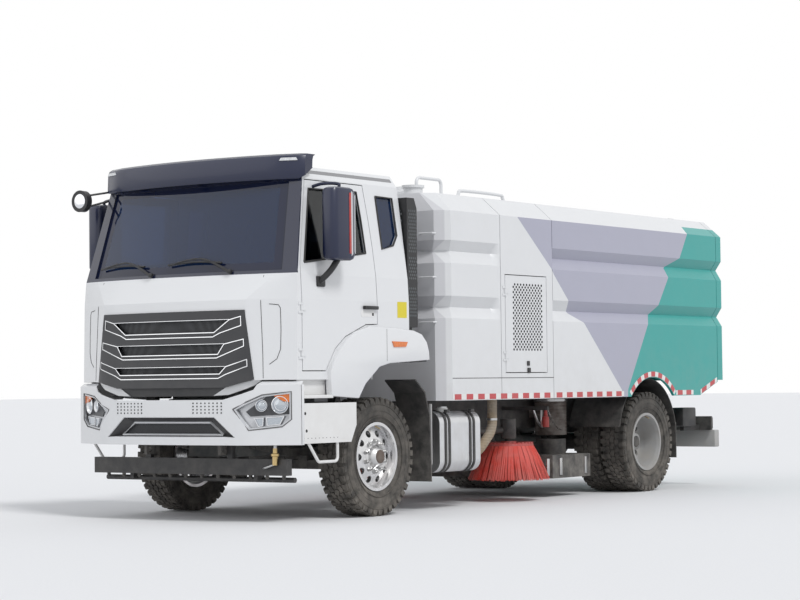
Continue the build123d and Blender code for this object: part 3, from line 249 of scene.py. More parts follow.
# Colour blocks of the body: each boundary is a broken line, height against station from the front axle
bodyColours = {
    "white": (0.73, 0.735, 0.745),
    "lavender": (0.40, 0.40, 0.49),
    "teal": (0.014, 0.34, 0.31),
    # the body's white darkened to grey on the forward face: painted shade
    "frontWallShade": (0.60, 0.60, 0.62),
    "navy": (0.007, 0.011, 0.036),
    "lavenderTop": 2.707, "roof": 2.79,
    "lavenderFront": [(1.053, 4.062), (1.721, 3.338), (1.815, 3.114), (1.941, 3.043), (2.177, 2.790),
                      (2.234, 2.746), (2.700, 2.152)],
    "tealFront": [(1.052, 4.183), (1.731, 4.617), (1.922, 4.834), (2.221, 5.058), (2.327, 5.062),
                  (2.442, 5.316), (2.673, 5.468), (2.880, 5.600)],
}


def behind(tree, along, height, line):
    # 1 behind the broken line
    low, high = line[0][0], line[-1][0]
    first = min(y for z, y in line)
    last = max(y for z, y in line)
    stops = [((z - low) / (high - low), (y - first) / (last - first)) for z, y in line]
    curve = ramp(tree, mapped(tree, height, low, high), stops)
    edge = mapped(tree, curve, 0, 1, first + frontAxle, last + frontAxle)
    return calc(tree, "GREATER_THAN", along, edge)


def bodyBlocks(tree, place):
    across, along, height = splitPlace(tree, place)
    inLavender = behind(tree, along, height, bodyColours["lavenderFront"])
    low = calc(tree, "LESS_THAN", height, bodyColours["lavenderTop"])
    inLavender = calc(tree, "MULTIPLY", inLavender, low)
    inTeal = behind(tree, along, height, bodyColours["tealFront"])
    onRoof = calc(tree, "GREATER_THAN", height, bodyColours["roof"])
    inTeal = calc(tree, "MULTIPLY", inTeal, calc(tree, "SUBTRACT", 1.0, onRoof))
    colour = mixColour(tree, inLavender, bodyColours["white"], bodyColours["lavender"])
    colour = mixColour(tree, inTeal, colour, bodyColours["teal"])
    # painted shade: the forward face of the body is greyer than its sides
    wall = mapped(tree, along, frontAxle + 0.985, frontAxle + 0.995, 1.0, 0.0)
    return mixColour(tree, wall, colour, bodyColours["frontWallShade"])


def cabBlocks(tree, place):
    # white outside, a grey lining where the shell is seen from inside
    across, along, height = splitPlace(tree, place)
    wide = mapped(tree, height, 2.06, 2.88, 1.194, 1.085)
    depth = calc(tree, "SUBTRACT", wide, calc(tree, "ABSOLUTE", across))
    inside = calc(tree, "MULTIPLY", calc(tree, "GREATER_THAN", depth, 0.03),
                  within(tree, along, frontAxle - 1.0, frontAxle + 0.40))
    inside = calc(tree, "MULTIPLY", inside, calc(tree, "LESS_THAN", height, 2.955))
    colour = mixColour(tree, inside, bodyColours["white"], (0.20, 0.20, 0.21))
    # dark pillars and header round the windscreen, as far back as a line that leans with the door's edge
    edge = mapped(tree, height, 2.09, 2.86, frontAxle - 1.120, frontAxle - 0.920)
    pillar = calc(tree, "MULTIPLY", calc(tree, "LESS_THAN", along, edge), within(tree, height, 2.070, 2.975))
    return mixColour(tree, pillar, colour, bodyColours["navy"])


def paneMaterial(name, tint, rough=0.02):
    mat, tree, shader = startMaterial(name, Transmission_Weight=1.0, IOR=1.45)
    film = noise(tree, objectPlace(tree), 1.8, detail=4)
    clean = [c * 0.86 for c in tint]
    tree.links.new(ramp(tree, film, [(0.35, tint), (0.75, clean)]), shader.inputs["Base Color"])
    tree.links.new(mapped(tree, film, 0.3, 0.8, rough, rough + 0.05), shader.inputs["Roughness"])
    return mat


def windscreenMaterial():
    # clear in the middle, a printed navy border at the sides and the bottom; the navy band along the top is
    # painted shade, the visor's shadow and dark reflection on the glass
    mat, tree, shader = startMaterial("windscreenGlass", IOR=1.45, Roughness=0.0)
    across, along, height = splitPlace(tree, objectPlace(tree))
    side = mapped(tree, height, 2.10, 2.85, 0.97, 0.90)
    printAndVisorShade = calc(tree, "GREATER_THAN", calc(tree, "ABSOLUTE", across), side)
    printAndVisorShade = calc(tree, "MAXIMUM", printAndVisorShade, calc(tree, "LESS_THAN", height, 2.165))
    # painted shade: the visor's shadow and reflection drawn as a dark band along the top of the glass
    printAndVisorShade = calc(tree, "MAXIMUM", printAndVisorShade, calc(tree, "GREATER_THAN", height, 2.80))
    printAndVisorShade = calc(tree, "MULTIPLY", printAndVisorShade, calc(tree, "LESS_THAN", along, frontAxle - 0.7))
    tint = mixColour(tree, printAndVisorShade, (0.020, 0.056, 0.165), bodyColours["navy"])
    tree.links.new(tint, shader.inputs["Base Color"])
    tree.links.new(mapped(tree, printAndVisorShade, 0.0, 1.0, 0.72, 0.0), shader.inputs["Transmission Weight"])
    return mat


def ribbedMaterial(name, colour, pitch, depth):
    mat, tree, shader = startMaterial(name, Roughness=0.6)
    place = objectPlace(tree)
    dusty = mapped(tree, noise(tree, place, 9, detail=5), 0.35, 0.8, 0, 0.6)
    tree.links.new(mixColour(tree, dusty, colour, (0.35, 0.33, 0.30)), shader.inputs["Base Color"])
    wave = addNode(tree, "ShaderNodeTexWave", {"Vector": place, "Scale": pitch}, bands_direction="Z")
    setBump(tree, shader, wave.outputs["Fac"], depth, 0.006)
    return mat


def cellMaterial(name, scale, spread, stops, bump, distance, rough, **sockets):
    # round cells: the holes of a mesh, the facets of a lens
    mat, tree, shader = startMaterial(name, Roughness=rough, **sockets)
    inputs = {"Vector": objectPlace(tree), "Scale": scale, "Randomness": spread}
    cells = addNode(tree, "ShaderNodeTexVoronoi", inputs).outputs["Distance"]
    tree.links.new(ramp(tree, cells, stops), shader.inputs["Base Color"])
    setBump(tree, shader, cells, bump, distance)
    return mat


def lensMaterial(name, colour):
    deep = [c * 0.7 for c in colour]
    return cellMaterial(name, 60, 1.0, [(0.0, colour), (0.9, deep)], 0.3, 0.002, 0.12, Coat_Weight=0.6)


white = bodyColours["white"]
paints = {   # colour, roughness and the other values of finish
    "cabWhite": (white, 0.22, dict(dust=0.06, coat=0.5, bump=0.03, mottle=0.03)),
    "cabShellWhite": (white, 0.22, dict(dust=0.06, coat=0.5, bump=0.03, mottle=0.03, paintColour=cabBlocks)),
    "bodyPaint": (white, 0.34, dict(dust=0.28, coat=0.2, bump=0.05, mottle=0.07, paintColour=bodyBlocks)),
    "sillPaint": ((0.78, 0.775, 0.765), 0.34, dict(dust=0.22, coat=0.2, bump=0.05)),
    "frameBlack": ((0.022, 0.022, 0.024), 0.5, dict(dust=0.5, dustTop=1.2, mottle=0.2)),
    "greyPaint": ((0.42, 0.42, 0.42), 0.5, dict(dust=0.5, mottle=0.15)),
    "engineGrey": ((0.10, 0.11, 0.115), 0.6, dict(dust=0.5, mottle=0.3, grain=80, bump=0.4)),
    "blackPlastic": ((0.018, 0.018, 0.020), 0.45, dict(dust=0.14, grain=420, bump=0.2)),
    "grillePlastic": ((0.030, 0.031, 0.035), 0.38, dict(dust=0.12, grain=420)),
    "visorNavy": ((0.006, 0.011, 0.042), 0.34, dict(dust=0.03, coat=0.25, bump=0.02)),
    "tyreRubber": ((0.024, 0.023, 0.022), 0.78, dict(dust=0.62, dustTop=1.5, dustColour=(0.30, 0.27, 0.235),
                                                     grain=190, bump=0.35)),
    "rubber": ((0.020, 0.020, 0.021), 0.7, dict(dust=0.45, dustTop=1.3, grain=160, bump=0.3)),
    "alloy": ((0.75, 0.75, 0.76), 0.20, dict(metal=1.0, dust=0.30, dustTop=1.4, grain=300, bump=0.05)),
    "silverRim": ((0.42, 0.42, 0.42), 0.5, dict(metal=0.2, dust=0.8, dustTop=1.8, mottle=0.3,
                                                dustColour=(0.40, 0.38, 0.35))),
    "tankAlloy": ((0.72, 0.73, 0.75), 0.26, dict(metal=1.0, dust=0.34, dustTop=1.3, grain=40, bump=0.10,
                                                 stretch=(1, 0.03, 1))),
    "interior": ((0.055, 0.052, 0.050), 0.7, dict(dust=0.05, grain=500, bump=0.35)),
    "steel": ((0.55, 0.55, 0.55), 0.25, dict(metal=1.0, dust=0.15, grain=60, stretch=(0.1, 1, 1))),
    "chrome": ((0.80, 0.81, 0.83), 0.08, dict(metal=1.0, dust=0.06, bump=0.0)),
    "hubBrown": ((0.085, 0.050, 0.035), 0.55, dict(dust=0.3, mottle=0.3)),
    "brass": ((0.60, 0.44, 0.20), 0.3, dict(metal=1.0, dust=0.2)),
    "redTape": ((0.52, 0.03, 0.04), 0.3, dict(coat=0.3, grain=120, bump=0.3)),
    "whiteTape": ((0.80, 0.79, 0.77), 0.3, dict(coat=0.3, grain=120, bump=0.3)),
    "satinTrim": ((0.62, 0.63, 0.65), 0.28, dict(metal=0.35, dust=0.10, bump=0.02)),
    "lampBowl": ((0.050, 0.052, 0.058), 0.35, dict(dust=0.05, bump=0.05)),
    "lampLens": ((0.50, 0.54, 0.58), 0.05, dict(metal=0.7, dust=0.03, coat=1.0, bump=0.0)),
    "seamSealant": ((0.10, 0.10, 0.105), 0.7, dict(dust=0.3)),
    # darkHollow is near-black for holes drawn as flat discs: painted shade in the holes of the bumper, the
    # cab steps and the service doors; the step rivets use it too
    "darkHollow": ((0.010, 0.010, 0.011), 0.8, dict(dust=0.05)),
    "redPaint": ((0.42, 0.030, 0.025), 0.4, dict(dust=0.35, dustTop=1.2)),
    "yellowFilm": ((0.72, 0.60, 0.03), 0.35, dict(dust=0.08)),
    "bristleRed": ((0.62, 0.030, 0.014), 0.42, dict(dust=0.32, dustTop=0.9, grain=300, bump=0.2)),
}
nodesByFinish = {
    "frameBlack": "chassis_frame cross_members front_axle rear_axle air_tanks tail_lamps brush_posts nozzle"
                  " nozzle_hanger lift_barrel knuckle_ brush_arm_",
    "bodyPaint": "water_tank engine_room hopper tailgate service_door_",
    "blackPlastic": "intake_mesh spray_bar wipers snorkel kerb_mirror",
    "cabWhite": "bumper roof_rails cab_fenders",
    "cabShellWhite": "cab_shell door_",
    "rubber": "mudguards tyre_front_ tyre_rear_",
    "engineGrey": "power_unit aux_engine", "visorNavy": "visor mirror_", "whiteLens": "headlamps",
    "sillPaint": "side_steps", "tankAlloy": "fuel_tank", "greyPaint": "rear_guard", "steel": "lift_rod",
    "ductRubber": "suction_duct", "hoseTan": "air_hose", "grillePlastic": "grille",
    "interior": "cab_interior", "windscreen": "cab_glass", "glass": "door_glass_",
    "alloy": "rim_front_", "silverRim": "rim_rear_", "bristleRed": "brush_",
}


def makeFinishes():
    kit = {name: finish(name, colour, rough, **values) for name, (colour, rough, values) in paints.items()}
    kit["glass"] = paneMaterial("sideGlass", (0.25, 0.28, 0.28))
    kit["windscreen"] = windscreenMaterial()
    kit["clearLens"] = paneMaterial("clearLens", (0.94, 0.95, 0.96))
    for name, colour in (("amberLens", (0.85, 0.20, 0.02)), ("redLens", (0.50, 0.02, 0.015)),
                         ("whiteLens", (0.85, 0.86, 0.88))):
        kit[name] = lensMaterial(name, colour)
    kit["ductRubber"] = ribbedMaterial("ductRubber", (0.075, 0.055, 0.045), 9, 0.6)
    kit["hoseTan"] = ribbedMaterial("hoseTan", (0.36, 0.28, 0.19), 22, 0.9)
    # the near-black cell middles are painted shade in the mesh's holes
    stops = [(0.30, (0.003, 0.003, 0.004)), (0.42, (0.050, 0.052, 0.056))]
    kit["meshBlack"] = cellMaterial("meshBlack", 180, 0.15, stops, 0.6, 0.003, 0.6)
    return kit


def paintNodes():
    finishOf = {name: key for key, names in nodesByFinish.items() for name in names.split()}
    for name, obj in nodes.items():
        key = name if name in finishOf else name.rsplit("_", 1)[0] + "_"
        obj.data.materials.clear()
        obj.data.materials.append(kit[finishOf[key]])


# Mesh helpers

def toMesh(bm, outward=True):
    if outward:
        bmesh.ops.recalc_face_normals(bm, faces=bm.faces)
    mesh = bpy.data.meshes.new("piece")
    bm.to_mesh(mesh)
    bm.free()
    return mesh


def addPiece(name, form, material, body="chassis", smooth=32):
    mesh = toMesh(form) if isinstance(form, bmesh.types.BMesh) else form
    mesh.name = name
    mesh.materials.clear()
    mesh.materials.append(kit[material])
    if smooth:
        for face in mesh.polygons:
            face.use_smooth = True
        mesh.set_sharp_from_angle(angle=math.radians(smooth))
    obj = linked(name, mesh)
    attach(obj, body)
    return obj


def joinMeshes(meshes):
    bm = bmesh.new()
    for mesh in meshes:
        bm.from_mesh(mesh)
    return toMesh(bm, outward=False)


def stitch(bm, rows, around=True):
    # faces between rows of vertices; a row of one vertex is a tip
    for a, b in zip(rows, rows[1:]):
        count = max(len(a), len(b))
        for k in range(count if around else count - 1):
            n = (k + 1) % count
            corners = dict.fromkeys((a[k % len(a)], a[n % len(a)], b[n % len(b)], b[k % len(b)]))
            if len(corners) > 2:
                bm.faces.new(list(corners))


def addLoft(bm, loops):
    # closed rings of points joined to a solid
    rows = [[bm.verts.new(p) for p in loop] for loop in loops]
    stitch(bm, rows)
    bm.faces.new(rows[0])
    bm.faces.new(reversed(rows[-1]))


def addPlate(bm, outline, thickness):
    # outline: corners in space, in one plane; thickness: the vector to the other face
    addLoft(bm, [outline, [Vector(p) + Vector(thickness) for p in outline]])


def addPanel(bm, side, x, corners, thick):
    # a plate on a side of the vehicle; its corners are (y from the front axle, z)
    addPlate(bm, [spot(side * x, y, z) for y, z in corners], (side * thick, 0, 0))


def addSheet(bm, rows, farRows):
    # a slab between two grids of points
    near, far = ([[bm.verts.new(p) for p in row] for row in grid] for grid in (rows, farRows))
    rims = [(near[0], far[0]), (near[-1], far[-1])]
    rims += [([row[end] for row in near], [row[end] for row in far]) for end in (0, -1)]
    for strip in [near, far] + rims:
        stitch(bm, strip, around=False)


def addBlock(bm, low, high, bevel=0.0):
    size = [abs(b - a) for a, b in zip(low, high)]
    centre = [(a + b) / 2 for a, b in zip(low, high)]
    place = Matrix.Translation(centre) @ Matrix.Diagonal((*size, 1))
    cube = bmesh.ops.create_cube(bm, size=1, matrix=place)["verts"]
    if bevel:
        edges = list(dict.fromkeys(e for v in cube for e in v.link_edges))
        bmesh.ops.bevel(bm, geom=edges, offset=bevel, segments=2, profile=0.5, affect="EDGES")


def addBlocks(bm, rows, both=True):
    # rows: inner and outer x, first and last y from the front axle, low and high z, bevel
    for side in (1, -1) if both else (1,):
        for x0, x1, y0, y1, z0, z1, bevel in rows:
            addBlock(bm, spot(side * x0, y0, z0), spot(side * x1, y1, z1), bevel)


def ringAt(centre, across, up, radius, count, phase=0.0):
    turns = [2 * math.pi * (k + phase) / count for k in range(count)]
    return [centre + radius * (math.cos(t) * across + math.sin(t) * up) for t in turns]


def addTurned(bm, profile, centre, axis=upward, steps=32, closed=False):
    # profile: (distance along the axis, radius)
    ahead = Vector(axis).normalized()
    across = ahead.orthogonal().normalized()
    rows = []
    for along, radius in profile:
        ring = ringAt(Vector(centre) + ahead * along, across, ahead.cross(across), radius, steps)
        rows.append([bm.verts.new(p) for p in (ring if radius > 1e-6 else ring[:1])])
    stitch(bm, rows + rows[:1] if closed else rows)


def curvePoints(points, steps):
    # a smooth line through given points
    knots = [2 * points[0] - points[1]] + points + [2 * points[-1] - points[-2]]
    line = []
    for a, b, c, d in zip(knots, knots[1:], knots[2:], knots[3:]):
        for k in range(steps):
            t = k / steps
            line.append(0.5 * (2 * b + (c - a) * t + (2 * a - 5 * b + 4 * c - d) * t * t
                               + (3 * b - a - 3 * c + d) * t ** 3))
    return line + [knots[-2]]


def addPipe(bm, points, radius, sides=10, smooth=0, flat=1.0):
    radii = radius if hasattr(radius, "__len__") else [radius]
    line = [Vector(p) for p in points]
    if smooth and len(line) > 2:
        line = curvePoints(line, smooth)
    across = (line[1] - line[0]).normalized().orthogonal().normalized()
    loops = []
    for i, point in enumerate(line):
        ahead = (line[min(i + 1, len(line) - 1)] - line[max(i - 1, 0)]).normalized()
        across = (across - ahead * across.dot(ahead)).normalized()
        size = radii[i * (len(radii) - 1) // max(1, len(line) - 1)]
        loops.append(ringAt(point, across, flat * ahead.cross(across), size, sides, 0.5))
    addLoft(bm, loops)


def facingMatrix(centre, ahead, up=upward):
    # local +Z looks ahead, local +Y looks up
    third = Vector(ahead).normalized()
    second = (Vector(up) - third * Vector(up).dot(third)).normalized()
    return Matrix.Translation(centre) @ Matrix((second.cross(third), second, third)).transposed().to_4x4()


# Geometry Nodes: rings and grids of a small form

def newTree(name, **inputs):
    tree = bpy.data.node_groups.new(name, "GeometryNodeTree")
    kinds = {int: "NodeSocketInt", float: "NodeSocketFloat", tuple: "NodeSocketVector"}
    for label, value in inputs.items():
        socket = tree.interface.new_socket(label, in_out="INPUT", socket_type=kinds[type(value)])
        socket.default_value = value
    tree.interface.new_socket("Material", in_out="INPUT", socket_type="NodeSocketMaterial")
    tree.interface.new_socket("Geometry", in_out="OUTPUT", socket_type="NodeSocketGeometry")
    return tree, tree.nodes.new("NodeGroupInput").outputs


def endTree(tree, given, points, form, **turned):
    placed = made(tree, "GeometryNodeInstanceOnPoints", {"Points": points, "Instance": form, **turned})
    real = made(tree, "GeometryNodeRealizeInstances", {0: placed})
    painted = made(tree, "GeometryNodeSetMaterial", {0: real, "Material": given["Material"]})
    addNode(tree, "NodeGroupOutput", {0: painted})
    return tree


def grownMesh(tree, place, material, **values):
    holder = linked("grower", bpy.data.meshes.new("grower"))
    modifier = holder.modifiers.new("grow", "NODES")
    modifier.node_group = tree
    values["Material"] = kit[material]
    for item in tree.interface.items_tree:
        if item.item_type == "SOCKET" and item.in_out == "INPUT" and item.name in values:
            modifier[item.identifier] = values[item.name]
    depsgraph = bpy.context.evaluated_depsgraph_get()
    mesh = bpy.data.meshes.new_from_object(holder.evaluated_get(depsgraph))
    bpy.data.objects.remove(holder)
    mesh.transform(place)
    return mesh


def ringTree():
    # blocks or pins round a circle in the XY plane, each turned to face outwards
    tree, given = newTree("ring", Count=10, Radius=1.0, Height=0.0, Size=(0.1, 0.1, 0.1),
                          Tilt=(0.0, 0.0, 0.0), Phase=0.0, Sides=0)
    circle = made(tree, "GeometryNodeMeshCircle", {"Vertices": given["Count"], "Radius": given["Radius"]})
    lift = made(tree, "ShaderNodeCombineXYZ", {2: given["Height"]})
    phase = made(tree, "ShaderNodeCombineXYZ", {2: given["Phase"]})
    spun = made(tree, "GeometryNodeTransform", {0: circle, "Translation": lift, "Rotation": phase})
    share = calc(tree, "DIVIDE", made(tree, "GeometryNodeInputIndex"), given["Count"])
    turn = made(tree, "ShaderNodeCombineXYZ", {2: calc(tree, "MULTIPLY", share, 2 * math.pi)})
    facing = made(tree, "ShaderNodeVectorMath", {0: turn, 1: phase}, operation="ADD")
    cube = made(tree, "GeometryNodeMeshCube", {"Size": given["Size"]})
    sizes = addNode(tree, "ShaderNodeSeparateXYZ", {0: given["Size"]}).outputs
    pin = made(tree, "GeometryNodeMeshCylinder", {"Vertices": given["Sides"], "Radius": sizes[0],
                                                  "Depth": sizes[2]})
    isPin = calc(tree, "GREATER_THAN", given["Sides"], 2.5)
    form = made(tree, "GeometryNodeSwitch", {0: isPin, 1: cube, 2: pin}, input_type="GEOMETRY")
    tilted = made(tree, "GeometryNodeTransform", {0: form, "Rotation": given["Tilt"]})
    return endTree(tree, given, spun, tilted, Rotation=facing)


def gridTree():
    # pins in a grid in the XY plane; odd rows may be shifted by half a pitch
    tree, given = newTree("grid", Columns=4, Rows=4, PitchX=0.1, PitchY=0.1, Stagger=0.0, Radius=0.01,
                          Depth=0.01, Sides=8)
    spans = [calc(tree, "MULTIPLY", calc(tree, "SUBTRACT", given[count], 1.0), given[pitch])
             for count, pitch in (("Columns", "PitchX"), ("Rows", "PitchY"))]
    grid = made(tree, "GeometryNodeMeshGrid", {"Size X": spans[0], "Size Y": spans[1],
                                               "Vertices X": given["Columns"], "Vertices Y": given["Rows"]})
    row = calc(tree, "MODULO", made(tree, "GeometryNodeInputIndex"), given["Rows"])
    half = calc(tree, "MULTIPLY", calc(tree, "MODULO", row, 2.0), given["Stagger"])
    shift = made(tree, "ShaderNodeCombineXYZ", {0: half})
    moved = made(tree, "GeometryNodeSetPosition", {0: grid, "Offset": shift})
    pin = made(tree, "GeometryNodeMeshCylinder", {"Vertices": given["Sides"], "Radius": given["Radius"],
                                                  "Depth": given["Depth"]})
    return endTree(tree, given, moved, pin)


# Tyres: a carcass with a bead, a dusty side wall and a worn tread of blocks

tyre = {
    "radius": 0.5138, "halfWidth": 0.144, "rim": 0.298, "treadBase": 0.500, "treadHalf": 0.118,
    "blocks": 46, "shoulderBlocks": 40, "steps": 96, "ribs": (-0.052, 0.0, 0.052),   # across the tread
    # radius, height, inset
    "wallRings": ((0.345, 0.0022, 0.0012), (0.398, 0.0016, 0.0012), (0.452, 0.0024, 0.0045)),
}


def tyreMeshes(centre, out):
    bm = bmesh.new()
    half, rim, base = tyre["halfWidth"], tyre["rim"], tyre["treadBase"]
    wall = [(half - 0.034, rim + 0.002), (half - 0.020, rim + 0.018), (half - 0.008, rim + 0.06),
            (half, rim + 0.115), (half - 0.003, base - 0.075), (half - 0.010, base - 0.035),
            (half - 0.024, base - 0.004), (tyre["treadHalf"] * 0.5, base)]
    profile = [(-out * x, radius) for x, radius in wall] + [(0, base + 0.001)]
    profile += [(out * x, radius) for x, radius in reversed(wall)]
    addTurned(bm, profile, centre, (1, 0, 0), tyre["steps"], closed=True)
    for radius, high, inset in tyre["wallRings"]:
        for side in (-1, 1):
            at = side * (half - inset)
            addTurned(bm, [(at - side * 0.004, radius - 0.004), (at + side * high, radius - 0.002),
                           (at + side * high, radius + 0.002), (at - side * 0.004, radius + 0.004)],
                      centre, (1, 0, 0), tyre["steps"], closed=True)
    tall = tyre["radius"] - base + 0.012
    place = facingMatrix(centre, (1, 0, 0))
    meshes = [toMesh(bm)]

    def addTread(count, radius, across, size, tilt, phase):
        meshes.append(grownMesh(rings, place, "tyreRubber", Count=count, Radius=radius, Height=across,
                                Size=size, Tilt=tilt, Phase=phase, Sides=0))

    for k, across in enumerate(tyre["ribs"]):
        addTread(tyre["blocks"], tyre["radius"] - tall / 2 - 0.0016, across,
                 (tall, 2 * math.pi * base / tyre["blocks"] * 0.86, 0.040), (0.30 * (1 - 2 * (k % 2)), 0, 0),
                 k * 0.068)
    count = tyre["shoulderBlocks"]
    long = 2 * math.pi * base / count * 0.60
    for side in (-1, 1):
        addTread(count, tyre["radius"] - tall / 2 - 0.0042, side * 0.106, (tall + 0.004, long, 0.056),
                 (0, side * 0.10, 0), 0.03 * side)
        addTread(count, base - 0.028, side * (half - 0.0115), (0.060, long, 0.012), (0, side * -0.10, 0),
                 0.03 * side)
    return meshes


def makeTyres():
    for name, side in sides:
        front = joinMeshes(tyreMeshes((middle("tyre_front_" + name).x, frontAxle, hubHeight), side))
        piece = addPiece("tyreFront_" + name, front, "tyreRubber", "wheel_front_" + name, 28)
        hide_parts("tyre_front_" + name)
        low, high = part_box("tyre_rear_" + name)
        pair = []
        for x in (low.x + tyre["halfWidth"], high.x - tyre["halfWidth"]):
            pair += tyreMeshes((x, rearAxle, hubHeight), side)
        piece = addPiece("tyreRear_" + name, joinMeshes(pair), "tyreRubber", "wheel_rear_" + name, 28)
        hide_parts("tyre_rear_" + name)


# Wheels: smooth rims, ten nuts on studs with washers, a hub cap with bolts, a valve

nuts = {"count": 10, "pitchRadius": 0.1325, "size": 0.017, "length": 0.030}
wheelKinds = {"front": (frontAxle, "alloy", "hubBrown"), "rear": (rearAxle, "silverRim", "frameBlack")}


def makeWheel(name, side, axle):
    station, rimFinish, hubFinish = wheelKinds[axle]
    body = "wheel_%s_%s" % (axle, name)
    node = "rim_%s_%s" % (axle, name)
    mesh = nodes[node].data
    surface = BVHTree.FromPolygons([v.co for v in mesh.vertices], [f.vertices for f in mesh.polygons])

    def face(y, z):
        # the rim's outer face at a place beside the hub
        return surface.ray_cast(Vector((side * 2.0, station + y, hubHeight + z)), Vector((-side, 0, 0)))[0].x

    bm = bmesh.new()
    bm.from_mesh(mesh)
    bmesh.ops.remove_doubles(bm, verts=bm.verts, dist=0.0002)
    piece = addPiece(node + "_finished", toMesh(bm, outward=False), rimFinish, body, 28)
    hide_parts(node)
    size, length = nuts["size"], nuts["length"]
    disc = face(nuts["pitchRadius"], 0)
    parts = []
    for out, across, deep, count in ((length / 2, size, length, 6), (0.004, size * 1.35, 0.008, 16),
                                     (0.024, size * 0.55, 0.048, 10)):
        place = facingMatrix((disc + side * out, station, hubHeight), (side, 0, 0))
        parts.append(grownMesh(rings, place, "steel", Count=nuts["count"], Radius=nuts["pitchRadius"],
                               Size=(across, across, deep), Sides=count, Phase=0.31))
    addPiece("wheelNuts_%s_%s" % (axle, name), joinMeshes(parts), "steel", body, 30)
    hub = face(0, 0)
    bm = bmesh.new()
    addTurned(bm, [(0, 0.0), (0, 0.060), (0.010, 0.058), (0.016, 0.040), (0.018, 0.0)],
              (hub - side * 0.004, station, hubHeight), (side, 0, 0))
    bolts = grownMesh(rings, facingMatrix((hub + side * 0.004, station, hubHeight), (side, 0, 0)), "steel",
                      Count=8, Radius=0.050, Size=(0.006, 0, 0.012), Sides=6)
    addPiece("hubCap_%s_%s" % (axle, name), joinMeshes([toMesh(bm), bolts]), hubFinish, body, 30)
    wall = face(0.02, 0.26)
    bm = bmesh.new()
    stem = [(wall, station + 0.02, hubHeight + 0.26), (wall + side * 0.05, station + 0.02, hubHeight + 0.24)]
    addPipe(bm, stem, 0.005, 8)
    addPiece("valve_%s_%s" % (axle, name), bm, "brass", body)


# Side brushes: tufts of bristle strips that flare outwards from the plate

brush = {
    "tufts": 34, "strips": 13, "strip": 0.0055,
    "plateRadius": 0.235, "top": 0.545, "kneeRadius": 0.30, "knee": 0.43, "lowRadius": 0.395, "low": 0.200,
    "rows": ((0.0, 1.0), (-0.035, 0.93), (-0.075, 0.84)),     # how far inwards, share of the reach
}


def addStrip(bm, centre, dice, turn, fan, inner, reach):
    flare = reach * dice.uniform(0.95, 1.01)
    low = brush["low"] + dice.uniform(0.001, 0.02)
    wide = Vector((-math.sin(turn), math.cos(turn), 0)) * brush["strip"]
    thick = Vector((math.cos(turn), math.sin(turn), 0)) * 0.0015
    loops = []
    for radius, height, lean, share in (
            (brush["plateRadius"] + inner, brush["top"], 0.0, 1.0),
            (brush["kneeRadius"] + inner, brush["knee"], 0.3, 0.9),
            (brush["lowRadius"] * flare + inner * 0.4, low, 1.0, 0.6)):
        a = turn + fan * lean
        p = Vector((centre.x + radius * math.cos(a), centre.y + radius * math.sin(a), height))
        loops.append([p + wide * share, p + thick, p - wide * share])
    addLoft(bm, loops)


def makeBrushes():
    for name, side in sides:
        body = "brush_" + name
        dice = random.Random(11 + side)
        centre = middle(body)
        bm = bmesh.new()
        for k in range(brush["tufts"]):
            tuftLean = dice.uniform(-0.05, 0.05)
            for row, (inner, reach) in enumerate(brush["rows"]):
                for n in range(brush["strips"] - 3 * row):
                    share = n / (brush["strips"] - 1) - 0.5
                    turn = 2 * math.pi * (k + share * 0.68) / brush["tufts"] + dice.uniform(-0.01, 0.01)
                    fan = tuftLean + share * 0.03 + dice.uniform(-0.012, 0.012)
                    addStrip(bm, centre, dice, turn, fan, inner, reach)
        bristles = addPiece("bristles_" + name, bm, "bristleRed", body, 0)
        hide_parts("brush_" + name)
        bm = bmesh.new()
        addTurned(bm, [(0.575, 0.0), (0.575, 0.075), (0.562, 0.080), (0.562, 0.225), (0.555, 0.238),
                       (0.535, 0.245), (0.520, 0.240), (0.520, 0.0)], (centre.x, centre.y, 0), steps=48)
        addPiece("brushPlate_" + name, bm, "redPaint", body)
        holders = grownMesh(rings, Matrix.Translation((centre.x, centre.y, 0)), "redPaint",
                            Count=brush["tufts"], Radius=0.225, Height=0.540, Size=(0.030, 0.030, 0.050))
        addPiece("tuftHolders_" + name, holders, "redPaint", body, 0)


# Forms laid on a curved front: an outline in X and Z, and a function that gives Y

cabLevels = [   # height, half width, nose, brow x, brow y and corner y of the cab's front
    (1.185, 1.205, -1.405, 0.800, -1.350, -1.165), (1.855, 1.205, -1.385, 0.800, -1.325, -1.150),
    (2.063, 1.194, -1.290, 1.000, -1.193, -1.140), (2.880, 1.085, -1.045, 0.880, -0.990, -0.927),
    (2.985, 1.010, -0.960, 0.850, -0.905, -0.850)]


def bowed(x, nose, browX, browY, endX, endY):
    # a shallow parabola as far as the brow, then straight to the corner
    if abs(x) < browX:
        return nose + (browY - nose) * (x / browX) ** 2
    return browY + (endY - browY) * (abs(x) - browX) / (endX - browX)


def cabSection(z):
    for low, high in zip(cabLevels, cabLevels[1:]):
        if z < high[0]:
            break
    share = (z - low[0]) / (high[0] - low[0])
    return [a + share * (b - a) for a, b in zip(low[1:], high[1:])]


def cabFront(x, z):
    side, nose, browX, browY, cornerY = cabSection(z)
    return frontAxle + bowed(x, nose, browX, browY, side, cornerY)


def mirrored(loop):
    return [(-x, z) for x, z in reversed(loop)]


def onSide(loop, side):
    return [(side * x, z) for x, z in loop]


def bothSides(loop):
    return loop + mirrored(loop)


def edgesOf(loop):
    return zip(loop, loop[1:] + loop[:1])


def addShell(bm, faces, corners, front, proud, thick):
    near, far = ([bm.verts.new((x, front(x, z) - proud + deep, z)) for x, z in corners]
                 for deep in (0, thick))
    uses = {}
    for face in faces:
        bm.faces.new([near[i] for i in face])
        bm.faces.new([far[i] for i in reversed(face)])
        for i, j in edgesOf(face):
            uses.setdefault((min(i, j), max(i, j)), []).append((i, j))
    for users in uses.values():
        if len(users) == 1:
            i, j = users[0]
            bm.faces.new((near[j], near[i], far[i], far[j]))


